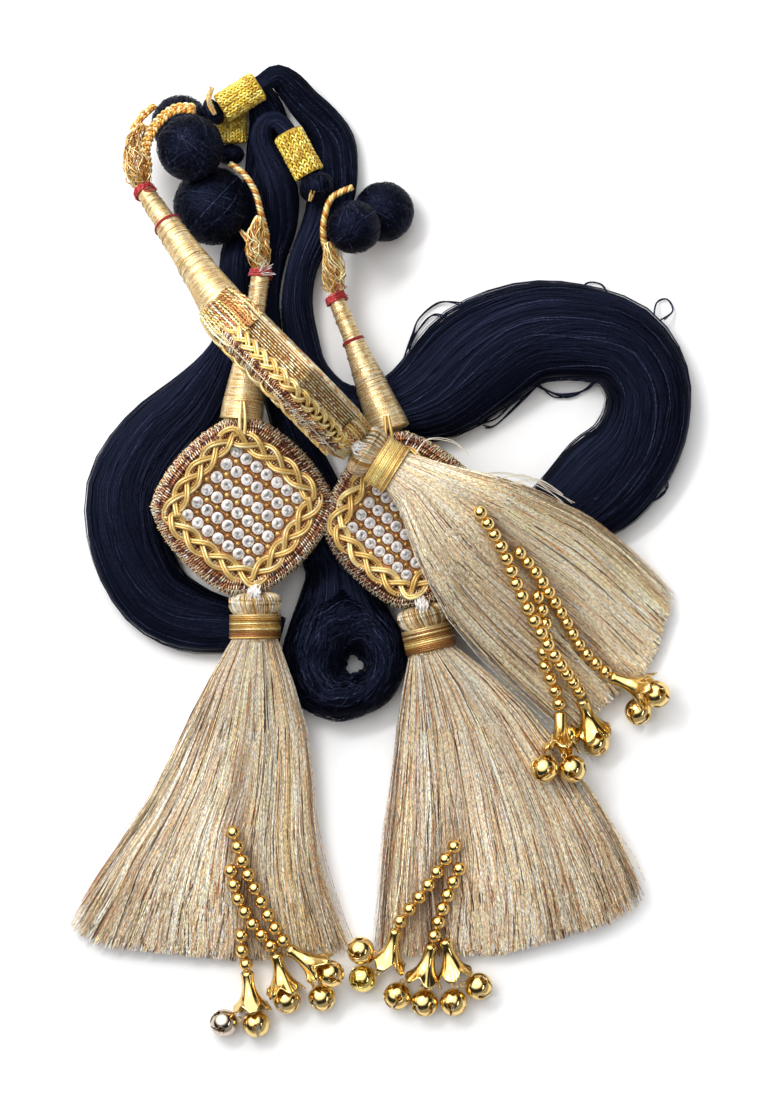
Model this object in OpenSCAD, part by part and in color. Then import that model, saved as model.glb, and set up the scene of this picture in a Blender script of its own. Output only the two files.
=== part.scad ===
// Paranda: a braid tassel with three drops on black thread skeins, laid out flat.
// Each drop runs from its skein through a knitted collar, a knot and thread balls to a
// wound cone, a square stoned medallion hung by its corner and a long metallic tassel.
// Millimetres. The surface it lies on is z = 0 and the view from above looks along -Z.

/* [Skeins] */
// How deep the ply grooves of a skein are, as a share of its half width
skein_groove = 0.07; // [0.02:0.01:0.12]
// Sides round one skein
skein_sides = 12; // [10:2:14]

/* [Collars and knots] */
// Outer diameter of the knitted collars
collar_d = 9.4; // [8.6:0.2:10.6]
// Bore of the collars, which the skein is gathered into
collar_bore = 6.6; // [6.4:0.1:7.2]

/* [Cords and ties] */
// Diameter of the orange-gold cords
cord_d = 1.7; // [1.2:0.1:2.0]
// Diameter of the red tying thread
tie_d = 0.9; // [0.6:0.1:1.1]

/* [Medallions] */
// Half of the medallion's diagonal
medallion_r = 27.6; // [26.8:0.2:28.2]
// How square the diamond is: 1 has straight sides, 2 is a circle
medallion_square = 1.45; // [1.35:0.05:1.6]
// Width of the plait round the stones
plait_w = 5.2; // [4.4:0.2:5.4]
// Diameter of one round stone
stone_d = 3.5; // [3.0:0.1:3.7]
// Pitch of the stones along a row
stone_pitch = 3.97; // [3.8:0.01:4.1]
// Pitch from row to row
row_pitch = 4.98; // [4.6:0.02:5.0]

/* [Tassels] */
// Outer radius of a tassel's head
head_r = 8.1; // [7.8:0.1:8.2]
// Radius of the bound neck under the head
neck_r = 6.7; // [6.2:0.1:6.8]
// Number of wire turns round the neck
binding_turns = 9; // [7:1:10]
// How deep the partings between the locks are, as a share of the height
lock_depth = 0.16; // [0.05:0.01:0.22]

/* [Beads and bells] */
// Diameter of one gold bead
bead_d = 4.0; // [3.6:0.1:4.1]
// Pitch of the beads along a string
bead_pitch = 4.3; // [4.25:0.05:4.6]
// Diameter of the thread through the beads
thread_d = 0.5; // [0.4:0.1:0.7]
// Diameter of one bell
bell_d = 8.4; // [7.6:0.1:8.5]
// Radius of a cap's flared mouth
cap_mouth_r = 4.4; // [3.8:0.1:4.6]

/* [Hidden] */
$fn = 40;
bead_hole_d = thread_d + 0.9;
bell_r = bell_d / 2;
clear = 0.3;

black = [0.05, 0.05, 0.09];
gold = [0.85, 0.66, 0.25];
pale_gold = [0.83, 0.74, 0.5];
yellow = [0.9, 0.78, 0.32];
orange = [0.84, 0.55, 0.2];
red = [0.62, 0.1, 0.12];
crystal = [0.9, 0.88, 0.86];

// Shared shapes

function unit(v) = v / norm(v);

// One row of a table between rows i and i + 1, smoothly, all columns alike.
function between(rows, i, t) =
  let (
    a = rows[max(i - 1, 0)],
    b = rows[i],
    c = rows[i + 1],
    d = rows[min(i + 2, len(rows) - 1)]
  )
  0.5 * (2 * b + (c - a) * t + (2 * a - 5 * b + 4 * c - d) * t * t + (3 * b - a - 3 * c + d) * t * t * t);

// A table with each gap cut into the given number of steps.
function smooth_rows(rows, steps) = [
  for (i = [0 : len(rows) - 2])
    for (s = [0 : steps - 1])
      between(rows, i, s / steps),
  rows[len(rows) - 1]
];

// A closed solid through rings of points that all have the same even number of points.
module ring_solid(rings) {
  n = len(rings[0]);
  last = len(rings) - 1;
  points = [for (ring = rings) for (p = ring) p];
  walls = [
    for (k = [0 : last - 1])
      for (i = [0 : n - 1])
        let (a = k * n + i, b = k * n + (i + 1) % n, c = b + n, d = a + n)
          each [[a, b, c], [a, c, d]]
  ];
  lid = [
    [0, 1, n - 1],
    for (j = [1 : n / 2 - 2])
      each [[j, j + 1, n - j - 1], [j, n - j - 1, n - j]],
    [n / 2 - 1, n / 2, n / 2 + 1]
  ];
  back = [for (f = lid) [f[2], f[1], f[0]]];
  front = [for (f = lid) [for (v = f) v + last * n]];
  polyhedron(points = points, faces = concat(walls, back, front));
}

// The same, closed on itself like a hoop.
module hoop_solid(rings) {
  n = len(rings[0]);
  m = len(rings);
  points = [for (ring = rings) for (p = ring) p];
  walls = [
    for (k = [0 : m - 1])
      for (i = [0 : n - 1])
        let (k2 = (k + 1) % m, i2 = (i + 1) % n, a = k * n + i, b = k * n + i2, c = k2 * n + i2, d = k2 * n + i)
          each [[a, b, c], [a, c, d]]
  ];
  polyhedron(points = points, faces = walls);
}

// Direction of a path at row k, from its x, y and z columns.
function heading(rows, k) =
  let (p = rows[max(k - 1, 0)], q = rows[min(k + 1, len(rows) - 1)])
  unit([q[0] - p[0], q[1] - p[1], q[2] - p[2]]);

// Columns of a lie: x, y, z of the middle, width in plan, thickness upwards.
module bundle(lie, steps, sides, plies, groove, turn) {
  rows = smooth_rows(lie, steps);
  rings = [
    for (k = [0 : len(rows) - 1])
      let (
        r = rows[k],
        t = heading(rows, k),
        side = unit(cross(t, [0, 0, 1])),
        up = cross(side, t)
      )
      [
        for (i = [0 : sides - 1])
          let (
            a = 360 * i / sides,
            ply = 1 - groove + groove * cos(plies * a + turn * k),
            s = sign(cos(a)) * pow(abs(cos(a)), 0.85),
            u = sign(sin(a)) * pow(abs(sin(a)), 0.85)
          )
          [r[0], r[1], r[2]] + side * (s * ply * r[3] / 2) + up * (u * ply * r[4] / 2)
      ]
  ];
  ring_solid(rings);
}

// A round cord of one diameter. Columns of a lie: x, y, z.
module round_cord(lie, steps, d, sides) {
  rows = smooth_rows(lie, steps);
  rings = [
    for (k = [0 : len(rows) - 1])
      let (t = heading(rows, k), side = unit(cross(t, [0.02, 0.03, 1])), up = cross(side, t))
      [
        for (i = [0 : sides - 1])
          let (a = 360 * i / sides)
          rows[k] + side * (cos(a) * d / 2) + up * (sin(a) * d / 2)
      ]
  ];
  ring_solid(rings);
}

// Puts a shape's +Z along the way from one point to another, with its foot on the first.
module aim(from, to) {
  z = unit(to - from);
  x = unit(cross(abs(z[2]) > 0.9 ? [0, 1, 0] : [0, 0, 1], z));
  y = cross(z, x);
  multmatrix([
    [x[0], y[0], z[0], from[0]],
    [x[1], y[1], z[1], from[1]],
    [x[2], y[2], z[2], from[2]],
    [0, 0, 0, 1]
  ]) children();
}

// Where each drop lies

// Centre, the way towards the cone, the way the front faces, left half width, turn of the rows
medallion_lie = [
  ["a", [-45.0, 13.8, 17.2], [0, 1, 0.01], [0.03, 0, 1], 27.2, -37.4],
  ["b", [-29.6, 53.4, 45.4], [-0.7, 0.71, 0.13], [-0.71, -0.7, 0], 27.2, -42],
  ["c", [4.6, 9.7, 17.6], [-0.13, 0.99, 0.01], [-0.07, 0, 1], 23.2, -45]
];
LIE_CENTRE = 1;
LIE_TO_CONE = 2;
LIE_FRONT = 3;
LIE_LEFT = 4;
LIE_ROW_TURN = 5;

module on_medallion(lie) {
  y = unit(lie[LIE_TO_CONE]);
  x = unit(cross(y, lie[LIE_FRONT]));
  z = cross(x, y);
  c = lie[LIE_CENTRE];
  multmatrix([
    [x[0], y[0], z[0], c[0]],
    [x[1], y[1], z[1], c[1]],
    [x[2], y[2], z[2], c[2]],
    [0, 0, 0, 1]
  ]) children();
}

// Skeins

// The left skein, from its collar round the left loop to the hair-end knot
skein_a_lie = [
  [-48.6, 135.4, 5.0, 5.4, 5.4],
  [-48.5, 139.6, 4.6, 5.6, 5.6],
  [-45.4, 142.9, 3.8, 7.4, 6.6],
  [-40.0, 141.8, 3.6, 9.4, 6.6],
  [-37.2, 135.0, 3.6, 11.6, 6.6],
  [-36.6, 124.5, 3.6, 14.2, 6.6],
  [-39.6, 113.5, 3.9, 10.6, 7.2],
  [-43.6, 102.5, 4.1, 8.6, 7.8],
  [-47.0, 92.0, 5.3, 9.4, 10.2],
  [-47.6, 81.0, 5.3, 9.8, 10.2],
  [-47.6, 69.6, 5.0, 10.0, 9.8],
  [-51.4, 58.4, 4.7, 14.6, 9.2],
  [-60.0, 46.0, 4.6, 21.4, 8.8],
  [-72.6, 33.8, 4.9, 25.0, 9.4],
  [-81.2, 18.4, 5.4, 26.0, 10.4],
  [-80.2, 0.6, 5.4, 25.4, 10.4],
  [-73.0, -14.0, 4.9, 24.0, 9.4],
  [-61.4, -21.2, 4.3, 21.6, 8.2],
  [-49.0, -23.6, 4.1, 17.0, 7.8],
  [-39.6, -25.0, 4.0, 14.0, 7.6],
  [-33.0, -26.6, 4.0, 12.0, 7.4]
];

// The crossing drop's skein, over the top arc, down the middle and round the right loop
skein_b_lie = [
  [-42.5, 143.2, 14.9, 5.2, 5.2],
  [-38.7, 145.6, 14.7, 5.4, 5.4],
  [-34.4, 147.6, 12.4, 7.2, 7.0],
  [-30.2, 144.6, 9.6, 9.2, 8.6],
  [-26.0, 139.6, 7.0, 10.2, 9.4],
  [-20.8, 134.2, 5.2, 11.6, 9.4],
  [-17.2, 127.8, 4.5, 14.0, 8.2],
  [-16.6, 120.6, 4.3, 15.0, 7.8],
  [-17.0, 112.6, 4.3, 15.0, 7.8],
  [-19.0, 105.0, 4.5, 13.0, 8.4],
  [-22.6, 97.6, 5.0, 10.8, 9.6],
  [-26.6, 88.6, 5.3, 9.4, 10.2],
  [-28.2, 77.6, 5.3, 9.6, 10.2],
  [-26.8, 66.6, 5.0, 10.4, 9.6],
  [-23.2, 55.2, 4.8, 10.8, 9.4],
  [-14.0, 46.0, 4.7, 13.0, 9.2],
  [-0.4, 44.2, 4.7, 19.6, 9.0],
  [14.4, 49.0, 5.2, 30.6, 10.0],
  [28.6, 59.6, 5.8, 36.0, 11.2],
  [43.6, 67.2, 6.1, 32.8, 11.8],
  [58.8, 67.6, 6.3, 31.0, 12.2],
  [73.4, 63.6, 6.4, 28.6, 12.4],
  [80.8, 53.2, 6.4, 27.6, 12.4],
  [81.2, 42.0, 6.3, 27.2, 12.2],
  [76.4, 30.6, 5.9, 28.8, 11.4],
  [67.4, 21.8, 5.3, 31.6, 10.2],
  [57.2, 13.8, 4.6, 27.0, 8.8],
  [45.8, 6.8, 4.4, 20.0, 8.4],
  [34.0, -1.0, 4.4, 16.4, 8.4],
  [24.0, -10.4, 4.2, 14.4, 8.0],
  [15.4, -20.4, 4.1, 13.4, 7.8],
  [7.9, -28.0, 4.1, 13.0, 7.8]
];

// The right drop's skein, folded under its collar and straight down the middle
skein_c_lie = [
  [-30.3, 128.9, 13.5, 5.2, 5.2],
  [-31.5, 131.0, 13.3, 5.2, 5.2],
  [-34.2, 133.6, 12.8, 5.8, 5.8],
  [-37.8, 132.8, 12.2, 6.4, 6.2],
  [-39.2, 128.0, 11.8, 7.0, 6.6],
  [-37.2, 122.2, 11.8, 8.0, 6.8],
  [-33.6, 112.6, 11.8, 11.0, 7.2],
  [-33.6, 102.0, 7.8, 10.8, 9.8],
  [-36.4, 91.6, 5.4, 9.8, 10.2],
  [-38.0, 80.0, 5.3, 9.2, 10.2],
  [-37.2, 67.6, 5.1, 9.2, 9.8],
  [-35.8, 55.6, 4.8, 9.8, 9.2],
  [-31.6, 43.6, 4.6, 11.4, 8.8],
  [-27.4, 30.6, 4.4, 13.6, 8.4],
  [-22.4, 17.6, 4.3, 17.0, 8.2],
  [-18.4, 4.8, 4.3, 21.0, 8.2],
  [-15.4, -4.4, 4.2, 22.0, 8.0],
  [-14.4, -11.6, 4.2, 19.0, 7.8]
];

module skein(lie, plies, turn) {
  color(black) bundle(lie, 2, skein_sides, plies, skein_groove, turn);
}

// The knot that gathers the hair ends of the three skeins: a squat coil with a small eye
hair_knot_centre = [-13.6, -32.6, 6.6];
hair_knot_r = 10.9;
hair_knot_w = 16.4;
hair_knot_h = 12.8;
hair_knot_stretch = 1.07;

module hair_knot() {
  steps = 24;
  rings = [
    for (k = [0 : steps - 1])
      let (turn = -360 * k / steps, wrap = 1 + 0.06 * cos(6 * turn), out = [cos(turn), hair_knot_stretch * sin(turn), 0])
      [
        for (i = [0 : 9])
          let (a = 36 * i)
          hair_knot_centre + out * (hair_knot_r + cos(a) * wrap * hair_knot_w / 2)
            + [0, 0, sin(a) * wrap * hair_knot_h / 2]
      ]
  ];
  color(black) hoop_solid(rings);
}

// Collars, knots and balls

module collar(from, to) {
  length = norm(to - from);
  ribs = 7;
  color(yellow) aim(from, to)
    rotate_extrude()
      union() {
        translate([collar_bore / 2, 0]) square([(collar_d - collar_bore) / 2 - 0.35, length]);
        for (i = [0 : ribs - 1])
          translate([collar_d / 2 - 0.75, (i + 0.5) * length / ribs]) circle(r = 0.75, $fn = 24);
      }
}

// A squat ball or knot turned from an oval. Its axis stands up unless it is aimed.
module oval(r, h) {
  points = [for (a = [-90 : 15 : 90]) [r * cos(a), h * sin(a)]];
  rotate_extrude() polygon(points);
}

module ball(centre, r, h) {
  color(black) translate(centre) oval(r, h);
}

module thread_knot(centre, towards, r, h) {
  color(black) aim(centre, towards) oval(r, h);
}

// Cords, ties and cones

// Where each cone's small end and big end are
cone_ends = [
  ["a", [-39.1, 87.9, 14.2], [-45.3, 40.7, 17.2]],
  ["b", [-76.1, 112.8, 23], [-49.7, 74.1, 47.6]],
  ["c", [-16.5, 80.0, 10.5], [1.0, 37.2, 17.0]]
];

// Radius of the wound cone at a share of its length
cone_profiles = [
  [[0, 2.5], [0.04, 3.0], [0.3, 3.1], [0.33, 3.6], [0.55, 4.5], [0.75, 5.7], [0.9, 6.6], [1, 6.8]],
  [[0, 2.3], [0.04, 2.8], [0.28, 3.5], [0.31, 4.1], [0.55, 4.9], [0.75, 5.8], [0.92, 6.9], [1, 7.1]],
  [[0, 2.4], [0.04, 2.7], [0.32, 2.9], [0.35, 3.3], [0.6, 4.7], [0.78, 5.6], [0.92, 6.3], [1, 6.5]]
];

module cone(i) {
  from = cone_ends[i][1];
  to = cone_ends[i][2];
  length = norm(to - from);
  points = concat(
    [[0, 0]],
    [for (p = cone_profiles[i]) [p[1], p[0] * length]],
    [[0, length]]
  );
  color(pale_gold) aim(from, to) rotate_extrude() polygon(points);
}

// Three turns of red thread round a cone's small end
module tie(i) {
  from = cone_ends[i][1];
  inner = cone_profiles[i][1][1] + 0.2;
  color(red) aim(from, cone_ends[i][2])
    translate([0, 0, 0.2])
      rotate_extrude()
        union() {
          for (k = [0 : 2])
            translate([inner + tie_d / 2, tie_d / 2 + k * tie_d * 0.8]) circle(d = tie_d, $fn = 24);
        }
}

cords_a_lies = [
  [[-48.8, 120.2, 17], [-44.8, 117.4, 19.6], [-41.0, 111.8, 20.2], [-39.0, 104.4, 18.4], [-37.4, 97.4, 16], [-38.4, 89.1, 14.6]],
  [[-45.0, 98.8, 16.4], [-42.8, 94.6, 15.8], [-40.4, 88.8, 14.0]]
];

cords_b_lies = [
  [[-59.4, 136.8, 31.6], [-65.6, 136.6, 31.4], [-71.4, 132.0, 29], [-74.8, 125.0, 26], [-74.4, 118.6, 24], [-75.9, 114.4, 23.0]],
  [[-72.4, 138.4, 19], [-77.8, 132.6, 21], [-79.6, 124.4, 22], [-79.2, 117.6, 22.4], [-77.4, 112.8, 22.5]]
];

cords_c_lies = [
  [[-10.8, 112.9, 19.0], [-17.0, 109.7, 19.2], [-19.4, 103.4, 19.0], [-19.6, 96.4, 16.0], [-17.6, 90.0, 13.0], [-16.4, 81.1, 11.0]],
  [[-20.6, 88.4, 12.0], [-20.8, 84.8, 11.2], [-18.3, 80.7, 10.1]]
];

module cords(lies) {
  color(orange)
    for (lie = lies)
      round_cord(lie, 2, cord_d, 6);
}

// Medallions

// Distance from the centre to the edge of a rounded diamond, left side narrowed, ends clipped
function diamond_r(a, half, left, squareness, clip) =
  let (
    wide = cos(a) < 0 ? left : half,
    c = abs(cos(a)) / wide,
    s = abs(sin(a)) / half,
    r = pow(pow(c, squareness) + pow(s, squareness), -1 / squareness)
  )
  abs(sin(a)) * r > clip ? clip / abs(sin(a)) : r;

// Height above the middle and inset from the edge, from the back face to the stone panel
medallion_section = [
  [-7.5, 5.0],
  [-6.4, 0.3],
  [-5.0, 1.0],
  [-1.0, 1.5],
  [1.8, 0.3],
  [4.4, 1.3],
  [6.0, 0.5],
  [6.8, 2.2],
  [6.2, 4.4]
];
rim_z = 6.8;
panel_z = 6.2;
clip_end = 26.0;

module medallion(lie) {
  sides = 32;
  rings = [
    for (level = medallion_section)
      [
        for (i = [0 : sides - 1])
          let (
            a = -360 * i / sides,
            inset = level[1],
            r = diamond_r(a, medallion_r - inset, lie[LIE_LEFT] - inset, medallion_square, clip_end - inset)
          )
          [r * cos(a), r * sin(a), level[0]]
      ]
  ];
  color(gold) on_medallion(lie) ring_solid(rings);
}

// The plaited border round the stones, with its lobes
module plait(lie) {
  steps = 40;
  left = lie[LIE_LEFT] < 25 ? 20.0 : 22.4;
  rings = [
    for (k = [0 : steps - 1])
      let (
        a = 360 * k / steps,
        swell = k % 2 == 0 ? 0.12 : -0.12,
        r = diamond_r(a, 22.4, left, 1.2, 22.4),
        out = [cos(a), sin(a), 0]
      )
      [
        out * (r + plait_w / 2 + swell) + [0, 0, rim_z + clear + 0.2],
        out * (r + plait_w / 3) + [0, 0, rim_z + 1.5 + swell],
        out * (r - plait_w / 3) + [0, 0, panel_z + 1.9 - swell],
        out * (r - plait_w / 2 + swell) + [0, 0, panel_z + clear]
      ]
  ];
  color(yellow) on_medallion(lie) rotate([0, 0, lie[LIE_ROW_TURN] + 45]) hoop_solid(rings);
}

// Six rows of seven round stones, each with a table and eight facets round it
module stones(lie) {
  narrow = lie[LIE_LEFT] < 25 ? 0.87 : 1;
  turn = lie[LIE_ROW_TURN];
  color(crystal) on_medallion(lie)
    for (row = [0 : 5])
      for (i = [0 : 6])
        let (
          along = (i - 3) * stone_pitch,
          over = (row - 2.5) * row_pitch,
          x = along * cos(turn) - over * sin(turn),
          y = along * sin(turn) + over * cos(turn)
        )
        translate([x < 0 ? x * narrow : x, y, panel_z + 0.15])
          cylinder(h = 1.0, r1 = stone_d / 2 * sqrt(narrow), r2 = stone_d * 0.3, $fn = 8);
}

// Tassels

// Start of the head, the way the tassel hangs, height of its middle
tassel_heads = [
  [[-41.0, -12.5], [0, -1], 17.3],
  [[-9.3, 32.6], [0.84, -0.543], 38.4],
  [[10.6, -16.5], [0.219, -0.976], 17.3]
];

// Distance along the head and its radius there, from the flat top to below the binding
function head_section() = [
  [0, head_r - 4.4],
  [0.8, head_r - 1.1],
  [2.2, head_r],
  [4.8, head_r],
  [6.2, head_r - 0.9],
  [6.9, neck_r],
  [15.0, neck_r],
  [16.4, head_r]
];

// Columns of a fan: left edge x and y, right edge x and y, low and high z, parting, parting depth
fan_a = [
  [-57.0, -42.8, -28.6, -42.0, 5.0, 20.0, 0, 0],
  [-65.0, -59.1, -24.1, -59.1, 0.4, 15.0, 0, 0.1],
  [-74.7, -77.8, -22.5, -77.8, 0.4, 12.6, 0.05, 0.3],
  [-85.6, -93.4, -20.9, -93.4, 0.4, 11.0, 0.2, 0.4],
  [-94.1, -106.9, -16.6, -108.1, 0.4, 9.4, 0.32, 0.4],
  [-92.2, -119.6, -11.6, -121.6, 0.5, 6.4, 0.3, 0.3]
];

fan_b = [
  [4.2, 12.4, 18.6, 26.6, 29.8, 45.0, 0, 0],
  [10.3, -5.9, 35.3, 22.8, 29.8, 44.0, 0.1, 0.1],
  [15.6, -14.7, 42.2, 20.6, 28.4, 41.6, 0.2, 0.3],
  [21.2, -23.1, 49.4, 17.5, 21.0, 35.6, 0.2, 0.35],
  [33.2, -36.4, 63.4, 10.6, 12.0, 25.4, 0.1, 0.4],
  [46.6, -48.8, 75.9, 0.9, 2.2, 15.0, -0.1, 0.4],
  [52.6, -51.6, 86.6, -15.3, 0.5, 7.6, -0.1, 0.2]
];

fan_c = [
  [4.6, -45.4, 37.2, -42.0, 4.6, 19.6, 0, 0],
  [2.5, -59.1, 51.2, -57.2, 0.4, 15.0, 0, 0],
  [0, -77.8, 65.0, -76.2, 0.4, 12.6, -0.2, 0.1],
  [-2.2, -93.4, 74.1, -91.9, 0.4, 11.0, -0.42, 0.3],
  [-3.1, -109.1, 79.1, -103.4, 0.4, 9.4, -0.6, 0.4],
  [-4.1, -121.6, 70.3, -115.4, 0.5, 6.4, -0.6, 0.3]
];

// One tassel: a round head, a bound neck and a fan of locks that ends in uneven tips
module tassel(head, fan, sides, locks) {
  hang = unit([head[1][0], head[1][1]]);
  across = [-hang[1], hang[0]];
  mid = head[2];
  head_rows = [
    for (s = head_section())
      let (c = head[0] + hang * s[0], r = s[1])
      [c[0] - across[0] * r, c[1] - across[1] * r, c[0] + across[0] * r, c[1] + across[1] * r, mid - r, mid + r, 0, 0]
  ];
  spread = smooth_rows(concat([head_rows[len(head_rows) - 1]], fan), 2);
  rows = concat([for (i = [0 : len(head_rows) - 2]) head_rows[i]], spread);
  first_fan = len(head_rows);
  last = len(rows) - 1;
  rings = [
    for (k = [0 : last])
      let (
        r = rows[k],
        prev = rows[k - 1],
        left = [r[0], r[1], 0],
        right = [r[2], r[3], 0],
        centre = (left + right) / 2 + [0, 0, (r[4] + r[5]) / 2],
        side = (right - left) / 2,
        half_h = (r[5] - r[4]) / 2,
        open = k < first_fan ? 0 : min(1, (k - first_fan + 1) / 5),
        flow = k == last ? unit(cross(unit(side), [0, 0, 1])) : [0, 0, 0]
      )
      [
        for (i = [0 : sides - 1])
          let (
            a = 360 * i / sides,
            c = cos(a),
            s = sin(a),
            ripple = 1 - open * lock_depth * (0.5 - 0.5 * cos(locks * a)),
            parting = 1 - r[7] * exp(-pow((c - r[6]) / 0.22, 2)),
            lift = s > 0 ? ripple * parting : (1 - open * 0.15 + open * 0.15 * abs(c)),
            tip = (i % 2 == 0 ? 2.4 : -0.8) + 2 * sin(abs(a - 180) * 3)
          )
          centre + side * c * (1 - 0.02 * open * (i % 2)) + [0, 0, s * lift * half_h] + flow * tip
      ]
  ];
  color(pale_gold) ring_solid(rings);
}

// Wire turns round a tassel's neck
module binding(head) {
  hang = unit([head[1][0], head[1][1], 0]);
  from = [head[0][0], head[0][1], head[2]] + hang * 7.2;
  length = 7.6;
  turn_d = length / binding_turns;
  color(gold) aim(from, from + hang)
    rotate_extrude()
      union() {
        translate([neck_r + 0.2, 0.15]) square([1.0, length - 0.3]);
        for (i = [0 : binding_turns - 1])
          translate([neck_r + 1.1, (i + 0.5) * turn_d]) circle(d = turn_d * 1.04, $fn = 24);
      }
}

// Bead strings

// Top and mouth of each cap, in the order of the strings that end in them
caps_a_ends = [
  [[-34.5, -126.0, 6.4], [-31.7, -137.6, 4.9]],
  [[-30.4, -124.2, 8.5], [-20.3, -130.6, 8.8]],
  [[-43.6, -131.6, 5.6], [-42.2, -143.2, 5.0]]
];
caps_b_ends = [
  [[60.8, -46.6, 10.6], [64.2, -56.2, 6.6]],
  [[70.2, -39.4, 9.2], [80.0, -43.1, 9.7]],
  [[54.0, -50.9, 11.2], [53.9, -62.0, 14.6]]
];
caps_c_ends = [
  [[2.8, -118.4, 8.2], [-0.2, -130.4, 5.6]],
  [[14.0, -123.2, 7.4], [10.8, -135.2, 5.2]],
  [[18.2, -121.6, 7.8], [21.3, -133.4, 5.3]]
];

// Lies of the strings: x, y, z of the thread. A string ends just above its cap.
strings_a = [
  [[-48.6, -99.6, 11.6], [-47.4, -105.0, 11.2], [-45.0, -111.2, 10.4], [-40.8, -117.6, 9.0], [-36.2, -123.0, 6.9]],
  [[-47.8, -87.6, 12.6], [-45.4, -95.4, 12.4], [-42.0, -103.4, 11.4], [-38.4, -110.6, 10.5], [-35.0, -117.0, 9.6], [-32.2, -121.4, 8.9]],
  [[-45.4, -119.9, 8.6], [-45.2, -124.4, 8.0], [-43.9, -128.9, 6.6]]
];

strings_b = [
  [[28.8, 11.9, 45.2], [35.3, 1.2, 39.2], [40.0, -10.3, 33.8], [45.0, -20.6, 29.8], [49.6, -28.7, 26.8], [54.2, -35.8, 21.4], [59.8, -43.6, 12.6]],
  [[40.9, -0.6, 34.4], [46.2, -6.9, 30.0], [50.8, -13.9, 25.0], [55.0, -20.9, 19.8], [60.4, -30.3, 14.4], [68.0, -37.6, 9.8]],
  [[46.5, -14.2, 27.8], [48.7, -20.8, 24.6], [49.4, -27.4, 22.0], [48.4, -33.8, 20.2], [51.2, -40.4, 16.3], [53.6, -47.5, 12.2]]
];

strings_c = [
  [[21.0, -92.0, 11.8], [17.2, -97.4, 11.2], [13.6, -103.2, 10.4], [9.2, -109.2, 9.6], [4.2, -115.4, 8.5]],
  [[22.6, -99.0, 11.3], [19.8, -105.2, 10.7], [17.0, -112.4, 9.7], [14.8, -120.0, 8.3]]
];

// The way a thread and its beads run: along the lie and on into the top of its cap
PATH_STEPS = 2;
function thread_path(lie, ends) = smooth_rows(concat(lie, [ends[0] + 1.5 * unit(ends[1] - ends[0])]), PATH_STEPS);

// Running length of a path at each of its points
function lengths(path, i = 0, sum = 0, out = []) =
  i >= len(path) ? out :
  let (now = i == 0 ? 0 : sum + norm(path[i] - path[i - 1]))
  lengths(path, i + 1, now, concat(out, [now]));

// Point of a path at a given running length, by the last point before it
function at_length(path, ran, want, i = 0) =
  i >= len(path) - 2 || ran[i + 1] >= want
    ? path[i] + (path[i + 1] - path[i]) * (want - ran[i]) / (ran[i + 1] - ran[i])
    : at_length(path, ran, want, i + 1);

module bead_string(lie, ends) {
  path = thread_path(lie, ends);
  ran = lengths(path);
  total = ran[len(ran) - 1 - PATH_STEPS];
  count = floor((total - 0.2) / bead_pitch) + 1;
  slack = (total - (count - 1) * bead_pitch) / max(count - 1, 1);
  color(gold)
    for (i = [0 : count - 1])
      let (
        want = i * (bead_pitch + slack),
        here = at_length(path, ran, min(want, total - 0.001)),
        ahead = at_length(path, ran, want + 0.9),
        behind = at_length(path, ran, max(want - 0.9, 0))
      )
      aim(here, here + ahead - behind)
        difference() {
          sphere(d = bead_d);
          cylinder(h = bead_d + 1, d = bead_hole_d, center = true, $fn = 24);
        }
}

module threads(strings, ends) {
  color(gold)
    for (i = [0 : len(strings) - 1])
      round_cord(thread_path(strings[i], ends[i]), 1, thread_d, 6);
}

// Caps and bells

// A trumpet-shaped metal cap, hollow from its mouth, with a small hole for the thread
module cap(ends) {
  length = 12.2;
  wall = 0.5;
  outer = [[1.5, 0], [1.9, 0.5], [1.6, 2.6], [1.9, 5.4], [2.7, 8.4], [cap_mouth_r, length]];
  inner = [[cap_mouth_r - wall, length], [2.7 - wall, 8.4], [1.9 - wall, 5.4], [0.8, 2.6], [0.8, 0]];
  color(gold) aim(ends[0], ends[1]) rotate_extrude() polygon(concat(outer, inner));
}

// Middle of each bell and the way its slotted end faces
bells_a_lie = [
  [[-50.9, -147.2, 4.4], [-0.95, -0.2, 0.1]],
  [[-40.8, -147.5, 4.4], [0.2, -0.9, 0.1]],
  [[-31.1, -140.1, 4.5], [0.2, -0.9, 0.1]],
  [[-17.6, -131.8, 8.9], [0.8, -0.45, 0.1]],
  [[-20.2, -139.3, 4.4], [0.1, -0.9, 0.1]]
];
bells_b_lie = [
  [[48.9, -67.6, 16.8], [-0.4, -0.7, 0.6]],
  [[57.7, -67.8, 14.4], [0.5, -0.8, 0.1]],
  [[65.2, -59.8, 5.0], [0.2, -0.9, -0.36]],
  [[56.1, -57.7, 4.4], [-0.6, -0.7, 0.1]],
  [[83.9, -44.6, 9.9], [0.9, -0.35, 0.1]],
  [[78.4, -50.0, 4.4], [-0.2, -0.8, 0.2]]
];
bells_c_lie = [
  [[-7.6, -133.4, 4.4], [-0.8, -0.3, 0.1]],
  [[-8.2, -124.6, 6.6], [-0.9, 0.2, 0.2]],
  [[3.2, -138.8, 4.4], [-0.3, -0.8, 0.3]],
  [[11.7, -141.0, 4.4], [0.1, -0.9, 0.1]],
  [[20.7, -140.8, 4.4], [-0.1, -0.9, 0.1]],
  [[28.6, -135.8, 4.4], [0.9, -0.1, 0.1]]
];

// A hollow ball bell with a crossed slot at its open end and a lug at the other
module bell(lie) {
  slot_w = 0.9;
  aim(lie[0], lie[0] + lie[1])
    difference() {
      union() {
        sphere(r = bell_r);
        translate([0, 0, -bell_r - 1.4]) cylinder(h = 2.0, r = 0.8, $fn = 24);
      }
      sphere(r = bell_r - 0.6);
      for (turn = [0, 90])
        rotate([0, 0, turn])
          translate([-bell_r, -slot_w / 2, 0.6]) cube([bell_d, slot_w, bell_r + 1]);
    }
}

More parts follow.
